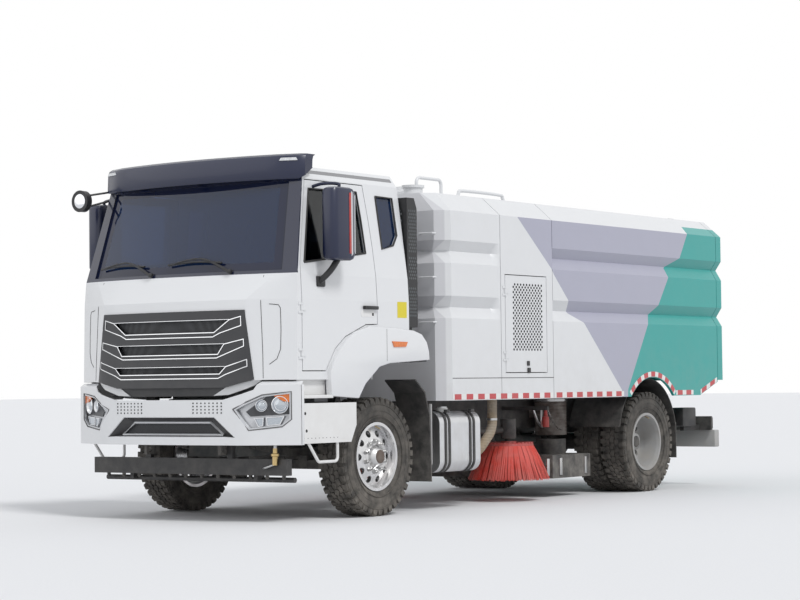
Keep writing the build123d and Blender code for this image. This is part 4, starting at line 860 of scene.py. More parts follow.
def layOn(bm, loops, front, proud, thick, levels=(), step=0.1):
    # a sheet with holes: the first loop is its outline, its face stands proud of the front
    flat = bmesh.new()
    for loop in loops:
        for a, b in edgesOf([flat.verts.new((x, 0, z)) for x, z in loop]):
            flat.edges.new((a, b))
    bmesh.ops.triangle_fill(flat, use_beauty=True, edges=flat.edges[:])
    reach = int(max(abs(v.co.x) for v in flat.verts) / step)
    cuts = [((k * step, 0, 0), (1, 0, 0)) for k in range(-reach, reach + 1)]
    cuts += [((0, 0, level), upward) for level in levels]
    for place, normal in cuts:
        geometry = flat.verts[:] + flat.edges[:] + flat.faces[:]
        bmesh.ops.bisect_plane(flat, geom=geometry, plane_co=place, plane_no=normal)
    flat.verts.index_update()
    faces = [[v.index for v in face.verts] for face in flat.faces]
    addShell(bm, faces, [(v.co.x, v.co.z) for v in flat.verts], front, proud, thick)
    flat.free()


def layBoth(bm, loop, front, proud, thick, step=0.1):
    for side in (1, -1):
        layOn(bm, [onSide(loop, side)], front, proud, thick, step=step)


def traceOn(loop, front, proud, step=0.1, closed=True):
    line = loop + loop[:1] if closed else loop
    points = []
    for (x0, z0), (x1, z1) in zip(line, line[1:]):
        parts = max(1, int(abs(x1 - x0) / step))
        points += [(x0 + (x1 - x0) * k / parts, z0 + (z1 - z0) * k / parts) for k in range(parts)]
    return [(x, front(x, z) - proud, z) for x, z in points + line[-1:]]


def shrunk(loop, amount):
    # the outline moved inwards by the same distance all round
    area = sum(a[0] * b[1] - b[0] * a[1] for a, b in edgesOf(loop))
    turn = 1 if area > 0 else -1
    inner = []
    for before, here, after in zip(loop[-1:] + loop[:-1], loop, loop[1:] + loop[:1]):
        a = (Vector(here) - Vector(before)).normalized()
        b = (Vector(after) - Vector(here)).normalized()
        normal = Vector((-a.y - b.y, a.x + b.x)).normalized() * turn
        size = amount / max(0.3, normal.dot(Vector((-a.y, a.x)) * turn))
        inner.append((here[0] + normal.x * size, here[1] + normal.y * size))
    return inner


def roundedLoop(wide, high, radius, centre=(0.0, 0.0), steps=6):
    # a rectangle with round corners
    loop = []
    for turn, (sx, sz) in enumerate(((1, 1), (-1, 1), (-1, -1), (1, -1))):
        for k in range(steps + 1):
            angle = math.radians(90 * (turn + k / steps))
            loop.append((centre[0] + sx * (wide / 2 - radius) + radius * math.cos(angle),
                         centre[1] + sz * (high / 2 - radius) + radius * math.sin(angle)))
    return loop


# Grille: a plate with three slots, a wing under each slot edged with chrome beads that stand for the light
# caught on its edges (painted highlight), mesh behind, a valance below

grille = {
    "edge": [(0.595, 1.127), (0.875, 1.190), (0.791, 1.770)],
    "proud": 0.010, "thick": 0.030, "wingProud": 0.015, "rim": 0.007, "bead": 0.00294,
    # slot: half width and height of its top, the same of its bottom; wing: underside, end x, end top, end low
    "wings": [(0.650, 1.693, 0.500, 1.590, 1.547, 0.766, 1.721, 1.637),
              (0.600, 1.492, 0.540, 1.408, 1.371, 0.796, 1.531, 1.467),
              (0.620, 1.303, 0.560, 1.244, 1.201, 0.826, 1.362, 1.299)],
    "valance": [(0.545, 1.056), (0.590, 1.132)], "valanceY": -1.345, "web": 1.130,
    "chin": [(0.470, 1.060), (0.620, 1.066), (0.800, 1.118), (0.860, 1.145), (0.900, 1.174), (0.900, 1.192),
             (0.600, 1.192), (0.592, 1.127)],
}


def makeGrille():
    edge = bothSides(grille["edge"])
    slots = [mirrored([(topHalf, top), (lowHalf, low)])[::-1] + [(lowHalf, low), (topHalf, top)]
             for topHalf, top, lowHalf, low, *rest in grille["wings"]]
    plate, highlightBeads, net, chin = (bmesh.new() for _ in range(4))
    layOn(plate, [edge] + slots, cabFront, grille["proud"], grille["thick"])
    for topHalf, top, lowHalf, low, under, endX, endTop, endLow in grille["wings"]:
        loop = bothSides([(lowHalf, low), (topHalf, top), (endX, endTop), (endX + 0.004, endLow),
                          (lowHalf + 0.060, low - 0.012), (lowHalf - 0.010, under)])
        layOn(plate, [loop], cabFront, grille["wingProud"] - 0.010, 0.020)
        # painted highlight: chrome beads round each wing and along each slot's top stand for the light caught
        # on these edges
        layOn(highlightBeads, [loop, shrunk(loop, grille["rim"])], cabFront, grille["wingProud"], 0.020)
        line = traceOn([(-topHalf, top), (topHalf, top)], cabFront, grille["proud"], closed=False)
        addPipe(highlightBeads, line, grille["bead"], 6)
    addPlate(plate, [spot(x, grille["valanceY"], z) for x, z in bothSides(grille["valance"])], (0, 0.010, 0))
    web = [spot(x, grille["valanceY"], grille["web"]) for x in (-0.590, 0.590)]
    web += [(x, cabFront(x, grille["web"]) + 0.01, grille["web"]) for x in (0.590, 0.3, 0, -0.3, -0.590)]
    addPlate(plate, web, (0, 0, 0.008))
    layOn(net, [shrunk(edge, 0.02)], cabFront, -0.030, 0.006)
    layBoth(chin, grille["chin"], cabFront, -0.030, 0.020)
    piece = addPiece("grillePlate", plate, "grillePlastic", "cab")
    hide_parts("grille")
    addPiece("grilleEdgeHighlights", highlightBeads, "chrome", "cab")
    addPiece("grilleMesh", net, "meshBlack", "cab")
    addPiece("chin", chin, "cabWhite", "cab")


# Bumper: one bowed skin with lamp openings, a sloping shoulder and a tapered intake with bright trim

bumper = {
    "nose": -1.420, "browX": 0.800, "browY": -1.372, "cornerX": 1.246, "cornerY": -1.165, "crease": 1.148,
    "low": 0.648, "high": 1.175, "shelf": 0.040, "skin": 0.012,
    "lamp": [(0.697, 0.947), (0.840, 0.771), (1.100, 0.800), (1.172, 0.860), (1.172, 1.089), (0.945, 1.063)],
    "intake": [(-0.508, 0.884), (0.508, 0.884), (0.716, 0.713), (-0.716, 0.713)],
    "intakeInner": [(-0.430, 0.836), (0.430, 0.836), (0.566, 0.733), (-0.566, 0.733)],
    "intakeBack": -1.335,
    "top": [(1.246, 1.148), (1.236, 1.175), (0.925, 1.175), (0.907, 1.148), (0.880, 1.106),
            (0.790, 1.074), (0.600, 1.026)],
    "returns": [(1.226, 1.246, -1.166, -1.120, 0.648, 1.148, 0.004)],
    "brackets": [(0.370, 0.430, -1.395, -1.150, 0.900, 0.940, 0.004),
                 (0.370, 0.430, -1.395, -1.150, 0.655, 0.700, 0.004),
                 (0.370, 1.225, -1.170, -1.150, 0.655, 0.700, 0.004)],
    "holes": (0.437, 0.958),    # x and z of the middle of a field of holes
}


def bumperFront(x, z):
    over = max(0.0, z - bumper["crease"]) / (bumper["high"] - bumper["crease"])
    plan = [bumper[key] for key in ("nose", "browX", "browY", "cornerX", "cornerY")]
    return frontAxle + bowed(x, *plan) + over * bumper["shelf"]


def taperRows(outer, inner, back, parts=8):
    # from the opening's edge in the skin to the smaller edge behind, in four steps
    pairs = []
    for (a0, a1), (b0, b1) in zip(edgesOf([Vector(p) for p in outer]), edgesOf([Vector(p) for p in inner])):
        pairs += [(a0.lerp(a1, k / parts), b0.lerp(b1, k / parts)) for k in range(parts)]
    rows = []
    for step in range(5):
        row = [Vector((a.x, bumperFront(a.x, a.y), a.y)).lerp(spot(b.x, back, b.y), step / 4)
               for a, b in pairs]
        rows.append(row + row[:1])
    return rows


def makeBumper():
    skin, taper, brackets, net, trim = (bmesh.new() for _ in range(5))
    outline = bothSides([(bumper["cornerX"], bumper["low"])] + bumper["top"])
    layOn(skin, [outline, bumper["lamp"], mirrored(bumper["lamp"]), bumper["intake"]], bumperFront, 0.0,
          bumper["skin"], levels=(bumper["crease"],))
    addBlocks(skin, bumper["returns"])
    inner, back = bumper["intakeInner"], bumper["intakeBack"]
    rows = taperRows(bumper["intake"], inner, back)
    addSheet(taper, rows, [[p + Vector((0, 0.006, 0)) for p in row] for row in rows])
    addBlocks(brackets, bumper["brackets"])
    addPlate(net, [spot(x, back + 0.004, z) for x, z in shrunk(inner, -0.02)], (0, 0.006, 0))
    addBlocks(net, [(-0.47, 0.47, back + 0.012, back + 0.030, 0.77, 0.80, 0.004)], both=False)
    addPipe(trim, [spot(x, back - 0.010, z) for x, z in inner + inner[:1]], 0.011, 8)
    addPipe(trim, traceOn(shrunk(bumper["intake"], 0.002), bumperFront, -0.004), 0.004, 6)
    piece = addPiece("bumperSkin", skin, "cabWhite", smooth=24)
    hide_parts("bumper")
    addPiece("intakeTaper", taper, "grillePlastic", smooth=24)
    addPiece("bumperBrackets", brackets, "frameBlack")
    piece = addPiece("intakeMesh", net, "meshBlack")
    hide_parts("intake_mesh")
    addPiece("intakeTrim", trim, "satinTrim")
    # the holes are near-black discs flush on the skin: painted shade
    x, z = bumper["holes"]
    holes = [grownMesh(grids, facingMatrix((side * x, bumperFront(x, z), z), (side * 0.066, -1, 0)),
                       "darkHollow", Columns=8, Rows=4, PitchX=0.042, PitchY=0.027, Radius=0.0065,
                       Depth=0.003, Sides=12) for side in (1, -1)]
    addPiece("bumperHoles", joinMeshes(holes), "darkHollow", smooth=0)


# Head lamps: a bezel, a dark bowl, two round projectors, two lower segments and an amber corner

lamp = {
    "rim": 0.016,
    "dark": [(0.800, 0.925), (0.835, 0.885), (1.158, 0.905), (1.158, 1.074), (0.955, 1.046)],
    "amber": [(1.022, 1.060), (1.100, 1.012), (1.158, 1.000), (1.158, 1.076)],
    "projectors": [(0.925, 0.975, 0.050), (1.068, 0.980, 0.072)],   # x, z, radius
    "segments": [[(0.872, 0.872), (0.948, 0.876), (0.944, 0.806), (0.905, 0.800)],
                 [(0.968, 0.878), (1.110, 0.888), (1.075, 0.816), (0.972, 0.808)]],
    # distance along the axis, share of the projector's radius
    "ringProfile": [(0.0, 1.0), (-0.020, 1.0), (-0.022, 0.93), (-0.002, 0.72), (-0.002, 0.62), (0.010, 0.62),
                    (0.010, 1.0)],
    "lensProfile": [(0.0, 0.66), (-0.010, 0.60), (-0.018, 0.38), (-0.021, 0.0)],
}


def makeHeadlamps():
    bezels, bowls, chromeRings, lenses, indicators, gaps = (bmesh.new() for _ in range(6))
    slope = (bumper["cornerY"] - bumper["browY"]) / (bumper["cornerX"] - bumper["browX"])
    for side in (1, -1):
        outline = onSide(bumper["lamp"], side)
        layOn(bezels, [outline, shrunk(outline, lamp["rim"])], bumperFront, -0.003, 0.020, step=0.05)
        layOn(bezels, [outline], bumperFront, -0.046, 0.012)
        layOn(bowls, [onSide(lamp["dark"], side)], bumperFront, -0.036, 0.012)
        layOn(indicators, [onSide(lamp["amber"], side)], bumperFront, -0.012, 0.020)
        addPipe(gaps, traceOn(outline, bumperFront, -0.001), 0.0055, 6)
        for segment in lamp["segments"]:
            layOn(lenses, [onSide(shrunk(segment, 0.008), side)], bumperFront, -0.020, 0.010)
            frameLoops = [onSide(segment, side), onSide(shrunk(segment, 0.007), side)]
            layOn(chromeRings, frameLoops, bumperFront, -0.016, 0.024)
        for x, z, radius in lamp["projectors"]:
            centre = (side * x, bumperFront(x, z) + 0.034, z)
            for bm, profile, steps in ((chromeRings, "ringProfile", 40), (lenses, "lensProfile", 32)):
                addTurned(bm, [(along, share * radius) for along, share in lamp[profile]], centre,
                          (side * -slope, 1, 0), steps, closed=profile == "ringProfile")
    piece = addPiece("lampBezels", bezels, "satinTrim")
    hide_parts("headlamps")
    addPiece("lampBowls", bowls, "lampBowl")
    addPiece("lampRings", chromeRings, "chrome")
    addPiece("lampLenses", lenses, "lampLens")
    addPiece("lampIndicators", indicators, "amberLens")
    addPiece("lampGaps", gaps, "seamSealant")


# Visor: a bowed band that wraps round the corners, with ribs to the roof and lamps at its ends

visor = {
    "plan": (-1.135, 0.890, -1.035, 1.085, -0.960),
    "ends": [(1.085, -0.960), (1.120, -0.915), (1.120, -0.815)],
    # height, setback
    "levels": [(2.868, 0.000), (2.895, -0.010), (3.030, -0.004), (3.060, 0.010), (3.078, 0.040)],
    "riseFrom": -0.960, "riseOver": 0.145, "rise": 0.100, "skin": 0.026,
    "ribs": [(0.67, 0.73, -1.055, -0.93, 2.935, 2.965, 0.004)],
    "middleRib": [(-0.03, 0.03, -1.115, -0.93, 2.935, 2.965, 0.004)],
    "lamp": [(0.930, 3.022), (1.080, 3.022), (1.066, 3.046), (0.945, 3.046)],
}


def visorFront(x, z):
    return frontAxle + bowed(x, *visor["plan"]) - 0.008


def makeVisor():
    stations = [visor["plan"][1] * k / 10 for k in range(11)]
    half = [(x, bowed(x, *visor["plan"])) for x in stations] + visor["ends"]
    plan = mirrored(half[1:]) + half
    base = visor["levels"][0][0]
    outer, inner = [], []
    for height, back in visor["levels"]:
        near, far = [], []
        for x, y in plan:
            rise = max(0.0, (y - visor["riseFrom"]) / visor["riseOver"]) * visor["rise"]
            z = max(height, base + rise) + (height - base) * 0.02
            near.append(spot(x * (1 - back * 0.2), y + back, z))
            far.append(spot(x * 0.976, y + back + visor["skin"], z))
        outer.append(near)
        inner.append(far)
    band, lamps = bmesh.new(), bmesh.new()
    addSheet(band, outer, inner)
    addBlocks(band, visor["ribs"])
    addBlocks(band, visor["middleRib"], both=False)
    layBoth(lamps, visor["lamp"], visorFront, 0.003, 0.006, step=0.05)
    piece = addPiece("visorBand", band, "visorNavy", "cab")
    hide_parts("visor")
    addPiece("visorLamps", lamps, "whiteLens", "cab")


# Mirrors: a rounded housing with a red strip and a pale rear part on a black arm; the round kerb mirror

mirror = {
    "x": 1.335, "y": -0.748, "wide": 0.156, "deep": 0.317, "round": 0.060,
    "levels": ((2.180, 0.72), (2.192, 0.90), (2.220, 1.0), (2.750, 1.0), (2.778, 0.90), (2.790, 0.72)),
    "foot": [(1.170, 1.216, -0.885, -0.775, 1.960, 2.050, 0.012)],
    "arm": [(1.205, -0.840, 2.010), (1.255, -0.830, 2.050), (1.300, -0.800, 2.110), (1.335, -0.758, 2.195)],
    "stay": [(1.335, -0.748, 2.780), (1.335, -0.748, 2.820), (1.200, -0.778, 2.830), (1.085, -0.788, 2.810)],
    "strip": [(-0.703, 2.235), (-0.703, 2.745), (-0.676, 2.745), (-0.676, 2.235)],
    "rear": [(0.0, -0.676, 2.215), (0.0, -0.676, 2.760), (-0.006, -0.628, 2.740), (-0.006, -0.628, 2.250)],
    "kerb": (-1.250, 0.030, 2.800),
    "kerbRim": [(0.024, 0.097), (0.031, 0.097), (0.031, 0.080), (0.0, 0.080)],
    "kerbGlass": [(0.022, 0.081), (0.028, 0.076), (0.033, 0.045), (0.035, 0.0)],
}


def makeMirrors():
    face = mirror["x"] + mirror["wide"] / 2
    glassY = mirror["y"] + mirror["deep"] / 2
    for name, side in sides:
        body = "door_" + name
        housing, arm, strip, rear = (bmesh.new() for _ in range(4))
        plan = roundedLoop(mirror["wide"], mirror["deep"], mirror["round"])
        addLoft(housing, [[spot(side * mirror["x"] + a * size, mirror["y"] + b * size, z) for a, b in plan]
                          for z, size in mirror["levels"]])
        addPipe(housing, [spot(side * x, y, z) for x, y, z in mirror["stay"]], 0.014, 10, 4)
        for x0, x1, y0, y1, z0, z1, bevel in mirror["foot"]:
            addBlock(arm, spot(side * x0, y0, z0), spot(side * x1, y1, z1), bevel)
        addPipe(arm, [spot(side * x, y, z) for x, y, z in mirror["arm"]], 0.032, 12, 4, 0.8)
        addPanel(strip, side, face, mirror["strip"], 0.003)
        addPlate(rear, [spot(side * (face + x), y, z) for x, y, z in mirror["rear"]], (side * 0.003, 0, 0))
        addBlock(rear, spot(side * (mirror["x"] - 0.055), glassY - 0.006, 2.24),
                 spot(side * (mirror["x"] + 0.055), glassY + 0.003, 2.73))
        addPiece("mirrorArm_" + name, arm, "blackPlastic", body)
        piece = addPiece("mirrorHousing_" + name, housing, "visorNavy", body)
        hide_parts("mirror_" + name)
        addPiece("mirrorStrip_" + name, strip, "redLens", body)
        addPiece("mirrorGlass_" + name, rear, "satinTrim", body)
    x, ahead, z = mirror["kerb"]
    centre = (x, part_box("kerb_mirror")[0].y + ahead, z)
    for name, profile, material in (("kerbMirrorRim", "kerbRim", "blackPlastic"),
                                    ("kerbMirrorGlass", "kerbGlass", "chrome")):
        bm = bmesh.new()
        addTurned(bm, mirror[profile], centre, (0, -1, 0), 40)
        addPiece(name, bm, material, "cab")


# Wipers: an arm that arches over the glass, a blade and a pivot cap

wiper = {
    "pivots": (0.575, -0.290), "reach": 0.600, "clear": 0.022, "radii": [0.013, 0.010, 0.008, 0.007, 0.006],
    # share of the reach, height
    "arm": ((0.0, 2.095), (0.25, 2.165), (0.50, 2.215), (0.75, 2.212), (1.0, 2.188)),
    "bladeStart": 0.10, "bladeLong": 0.58, "bladeHeight": 2.176, "bladeArch": 0.018, "bladeClear": 0.012,
    "cap": [(-0.03, 0.020), (0.026, 0.020), (0.032, 0.012), (0.032, 0.0)],
}


def makeWipers():
    bm = bmesh.new()
    for pivot in wiper["pivots"]:
        arm = [(pivot - wiper["reach"] * share, z) for share, z in wiper["arm"]]
        addPipe(bm, [(x, cabFront(x, z) - wiper["clear"], z) for x, z in arm], wiper["radii"], 8, 4)
        blade = [(pivot - wiper["bladeStart"] - wiper["bladeLong"] * k / 8,
                  wiper["bladeHeight"] + wiper["bladeArch"] * math.sin(math.pi * k / 8)) for k in range(9)]
        addPipe(bm, [(x, cabFront(x, z) - wiper["bladeClear"], z) for x, z in blade], 0.010, 6)
        x, z = arm[0]
        addTurned(bm, wiper["cap"], (x, cabFront(x, z), z), (0, -1, 0.2), 20)
    piece = addPiece("wiperArms", bm, "blackPlastic", "cab")
    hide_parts("wipers")


# Fenders with a rounded lip, the arch lining and the painted sills

fender = {
    "arch": [(-0.354, 1.033), (-0.266, 1.143), (-0.062, 1.288), (0.085, 1.319), (0.690, 1.337)],
    "edge": [(0.690, 1.350), (0.682, 1.430), (0.650, 1.510), (0.572, 1.580), (0.450, 1.612), (0.200, 1.628),
             (-0.200, 1.640), (-0.380, 1.590), (-0.500, 1.530), (-0.627, 1.432), (-0.700, 1.340),
             (-0.754, 1.253), (-0.740, 1.045), (-0.360, 1.022)],
    # x, how far the outline is drawn in
    "rings": ((1.185, 0.0), (1.231, 0.0), (1.241, 0.004), (1.245, 0.014)),
    "lining": (0.900, 1.205), "liningThick": (0, 0.003, 0.016),
    "sills": [(1.150, 1.165, -1.112, -0.735, 1.058, 1.186, 0.003),
              (1.150, 1.240, -1.112, -0.720, 1.030, 1.058, 0.003)],
}


def makeFenders():
    loop = fender["arch"][:-1] + fender["edge"]
    lips, sills, lining = (bmesh.new() for _ in range(3))
    for side in (1, -1):
        addLoft(lips, [[spot(side * x, y, z) for y, z in shrunk(loop, inset)]
                       for x, inset in fender["rings"]])
        rows = [[spot(side * x, y, z) for y, z in fender["arch"]] for x in fender["lining"]]
        addSheet(lining, rows, [[Vector(p) + Vector(fender["liningThick"]) for p in row] for row in rows])
    addBlocks(sills, fender["sills"])
    piece = addPiece("fenders", lips, "cabWhite", "cab", 40)
    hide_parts("cab_fenders")
    addPiece("sills", sills, "sillPaint", "cab")
    addPiece("archLinings", lining, "rubber", "cab", 40)


# Cab trim: corner panels, seams and window rubbers, door handles, label, markers, step rivets, snorkel holes

cabTrim = {
    "corner": [(0.880, 1.187), (1.204, 1.187), (1.204, 1.310), (0.880, 1.310)],     # where the tilt lugs pass
    "strip": [(0.945, 1.20), (0.940, 1.40), (0.918, 1.84), (0.905, 2.055)],
    "recess": [(0.985, 1.815), (1.058, 1.806), (1.074, 1.780), (1.080, 1.600), (1.078, 1.440), (1.050, 1.360),
               (0.992, 1.315)],
    "windows": ([(-1.025, 2.160), (-0.150, 2.271), (-0.165, 2.560), (-0.185, 2.800), (-0.855, 2.790)],
                [(0.084, 2.779), (0.334, 2.777), (0.342, 2.447), (0.271, 2.357), (0.097, 2.314)]),
    "handle": ((1.205, 1.236, -0.250, -0.055, 1.784, 1.814, 0.006),
               (1.204, 1.209, -0.120, -0.095, 1.730, 1.755, 0.002)),
    "label": [(0.255, 1.720), (0.395, 1.720), (0.395, 1.860), (0.255, 1.860)],
    "marker": [(0.115, 1.512), (0.345, 1.508), (0.318, 1.466), (0.140, 1.462)],
    "stepHoles": ((-1.104, 0.906), (-1.087, 0.762)), "rivets": 10,
    "snorkelFields": ((1.730, 9), (2.060, 7), (2.300, 13)), "snorkelPitch": 0.030,      # low edge, rows
}


def makeCabTrim():
    corners, seams, label, markers, steps = (bmesh.new() for _ in range(5))
    layBoth(corners, cabTrim["corner"], cabFront, 0.0005, 0.030)
    for side in (1, -1):
        for key, proud, radius in (("strip", 0.0005, 0.0026), ("recess", 0.0003, 0.0030)):
            line = onSide(cabTrim[key], side)
            addPipe(seams, traceOn(line, cabFront, proud, closed=False), radius, 5)
        for window in cabTrim["windows"]:
            line = [spot(side * (cabSection(z)[0] + 0.001), y, z) for y, z in window + window[:1]]
            addPipe(seams, line, 0.009, 6)
        addPipe(seams, [spot(side * 1.2455, 0.042, z) for z in (1.340, 1.620)], 0.0016, 5)
        addPanel(markers, side, 1.244, cabTrim["marker"], 0.008)
        # the step's holes are near-black discs on the step: painted shade
        for y, z in cabTrim["stepHoles"]:
            addTurned(steps, [(0.0, 0.013), (0.0012, 0.013), (0.0012, 0.0)], spot(side * 1.240, y, z),
                      (side, 0, 0), 16)
        for k in range(cabTrim["rivets"]):
            addTurned(steps, [(0.0, 0.0045), (0.0015, 0.003), (0.002, 0.0)],
                      spot(side * 1.240, 0.05 * k - 1.118, 0.700), (side, 0, 0), 8)
    addPanel(label, 1, 1.2055, cabTrim["label"], 0.001)
    addPiece("cabCorners", corners, "cabWhite", "cab")
    addPiece("cabSeams", seams, "rubber", "cab")
    for name, side in sides:
        handle, recess = bmesh.new(), bmesh.new()
        for x0, x1, y0, y1, z0, z1, bevel in cabTrim["handle"]:
            addBlock(handle, spot(side * x0, y0, z0), spot(side * x1, y1, z1), bevel)
        addPanel(recess, side, 1.2052, roundedLoop(0.190, 0.056, 0.020, (-0.180, 1.748)), 0.002)
        addPiece("doorHandle_" + name, handle, "blackPlastic", "door_" + name)
        addPiece("handleRecess_" + name, recess, "sillPaint", "door_" + name)
    addPiece("labelBlank", label, "yellowFilm", "cab")
    addPiece("fenderMarkers", markers, "amberLens", "cab")
    addPiece("stepHoles", steps, "darkHollow")
    # the intake's front and side are perforated; the holes are dark grey discs on its faces, painted shade
    low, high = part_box("snorkel")
    pitch = cabTrim["snorkelPitch"]
    holes = []
    for first, rows in cabTrim["snorkelFields"]:
        z = first + rows * pitch / 2
        for ahead, centre in (((0, -1, 0), (1.070, low.y - 0.0004, z)),
                              ((1, 0, 0), (high.x + 0.0004, frontAxle + 0.525, z))):
            holes.append(grownMesh(grids, facingMatrix(centre, ahead), "satinTrim", Columns=4, Rows=rows,
                                   PitchX=pitch, PitchY=pitch, Stagger=pitch / 2, Radius=0.0112,
                                   Depth=0.002, Sides=6))
    addPiece("snorkelHoles", joinMeshes(holes), "engineGrey", "cab", 0)


# Tape: red on white along the body's lower edge, round the rear arch and up the rear chamfer

tape = {
    "low": 0.992, "high": 1.042, "pitch": 0.190, "gap": 0.030, "length": 0.108, "x": 1.2506,
    "thick": 0.0012, "first": 1.030, "archRadius": 0.612, "archHeight": 0.570, "archInset": 0.006,
    "archParts": 7, "wide": 0.052,
    "chamfer": (1.023, 0.985, 1.438, 1.128),      # its ends as y from the rear axle and z
}


def makeTape():
    wheel = rearAxle - frontAxle
    rise = tape["low"] - tape["archHeight"]
    archHalf = math.sqrt(tape["archRadius"] ** 2 - rise ** 2)
    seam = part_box("hopper")[0].y - frontAxle
    firstY, firstZ, lastY, lastZ = tape["chamfer"]
    slope = (lastZ - firstZ) / (lastY - firstY)
    turn = math.atan2(rise, archHalf)
    span = (math.pi - 2 * turn) / tape["archParts"]
    straight = ((tape["first"], seam - 0.01, "chassis", 0.0), (seam + 0.01, wheel - archHalf, "hopper", 0.0),
                (wheel + archHalf + 0.05, wheel + firstY, "hopper", 0.0),
                (wheel + firstY + 0.01, wheel + lastY - 0.02, "hopper", slope))
    near = tape["archRadius"] + tape["archInset"]
    # name, finish, start and end on a straight run, the same as shares of an arch part, how proud
    colours = (("tapeRed_", "redTape", tape["gap"], tape["gap"] + tape["length"], 0.2, 0.75, 0.0006),
               ("tapeWhite_", "whiteTape", 0.0, tape["pitch"] - 0.001, 0.0, 0.99, 0.0))
    forms = {(name, body): bmesh.new() for body in ("chassis", "hopper") for name, *rest in colours}
    for name, material, start, end, archStart, archEnd, proud in colours:
        for side in (1, -1):
            for first, last, body, lift in straight:
                for k in range(int((last - first) / tape["pitch"])):
                    ends = [first + k * tape["pitch"] + share for share in (start, end)]
                    corners = [(y, tape["low"] + (y - wheel - firstY) * lift) for y in ends]
                    corners += [(y, z + tape["high"] - tape["low"]) for y, z in reversed(corners)]
                    addPanel(forms[name, body], side, tape["x"] + proud, corners, tape["thick"])
            for k in range(tape["archParts"]):
                shares = (archStart, (archStart + archEnd) / 2, archEnd)
                turns = [turn + span * (k + share) for share in shares]
                rims = [(near, a) for a in turns] + [(near + tape["wide"], a) for a in reversed(turns)]
                corners = [(wheel + radius * math.cos(a), tape["archHeight"] + radius * math.sin(a))
                           for radius, a in rims]
                addPanel(forms[name, "hopper"], side, tape["x"] + proud, corners, tape["thick"])
    finishOf = {name: material for name, material, *rest in colours}
    for (name, body), bm in forms.items():
        addPiece(name + body, bm, finishOf[name], body, 0)


# Body: vent and latch on the service doors, skirt seam, rungs, roof rails, hatch and filler cap

bodyTrim = {
    "ventY": (2.032, 2.552), "ventZ": (1.453, 2.066), "columns": 10, "rows": 26, "ventRadius": 0.0116,
    "doorFace": 1.25, "latch": ((0.010, 2.278, 2.322, 1.300, 1.345), (0.014, 2.284, 2.330, 1.235, 1.280)),
    "skirt": (1.2495, 1.2508, 1.183, 1.190),      # x and z
    "rungHeights": (2.500, 2.102, 1.695),
    "rung": ((1.00, 0.01), (1.00, -0.035), (1.15, -0.035), (1.15, 0.01)),
    "rail": ((1.900, 2.870), (1.920, 2.950), (2.000, 2.975), (2.600, 2.975), (2.680, 2.950), (2.700, 2.870)),
    "cap": [(0.0, 0.14), (0.05, 0.14), (0.06, 0.11), (0.10, 0.10), (0.11, 0.0)],
}


def makeBodyTrim():
    face = max(abs(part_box("engine_room")[1].x - 0.016), bodyTrim["doorFace"])
    (y0, y1), (z0, z1) = bodyTrim["ventY"], bodyTrim["ventZ"]
    pitchX = (y1 - y0) / bodyTrim["columns"]
    pitchY = (z1 - z0) / (bodyTrim["rows"] - 1)
    for name, side in sides:
        body = "service_door_" + name
        # the vent's perforations are near-black discs on the door face: painted shade
        place = facingMatrix(spot(side * (face + 0.0006), (y0 + y1) / 2, (z0 + z1) / 2), (side, 0, 0))
        holes = grownMesh(grids, place, "darkHollow", Columns=bodyTrim["columns"], Rows=bodyTrim["rows"],
                          PitchX=pitchX, PitchY=pitchY, Stagger=pitchX / 2, Radius=bodyTrim["ventRadius"],
                          Depth=0.002, Sides=10)
        addPiece("ventHoles_" + name, holes, "darkHollow", body, 0)
        bm = bmesh.new()
        for out, first, last, low, high in bodyTrim["latch"]:
            addBlock(bm, spot(side * face, first, low), spot(side * (face + out), last, high), 0.004)
        addPiece("doorLatch_" + name, bm, "blackPlastic", body)
    seam, rungs, cap = (bmesh.new() for _ in range(3))
    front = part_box("water_tank")[0].y
    x0, x1, low, high = bodyTrim["skirt"]
    for side in (1, -1):
        addBlock(seam, (side * x0, front + 0.112, low), (side * x1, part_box("hopper")[0].y - 0.002, high))
        for z in bodyTrim["rungHeights"]:
            addPipe(rungs, [(side * x, front + y, z) for x, y in bodyTrim["rung"]], 0.008, 8)
        addPipe(rungs, [spot(side * 0.736, y, z) for y, z in bodyTrim["rail"]], 0.017, 10, 3)
    addPlate(rungs, [spot(x, y, 2.879) for x, y in roundedLoop(0.62, 0.62, 0.08, (0.0, 1.45))], (0, 0, 0.028))
    addTurned(cap, bodyTrim["cap"], spot(0.556, 1.30, 2.875))
    addPiece("skirtSeam", seam, "seamSealant", smooth=0)
    addPiece("bodyRungs", rungs, "cabWhite")
    addPiece("fillerCap", cap, "cabWhite")


# Low pieces: tank straps and cap, clamps on hose and duct, flap edges, spray fittings, linkage, tail

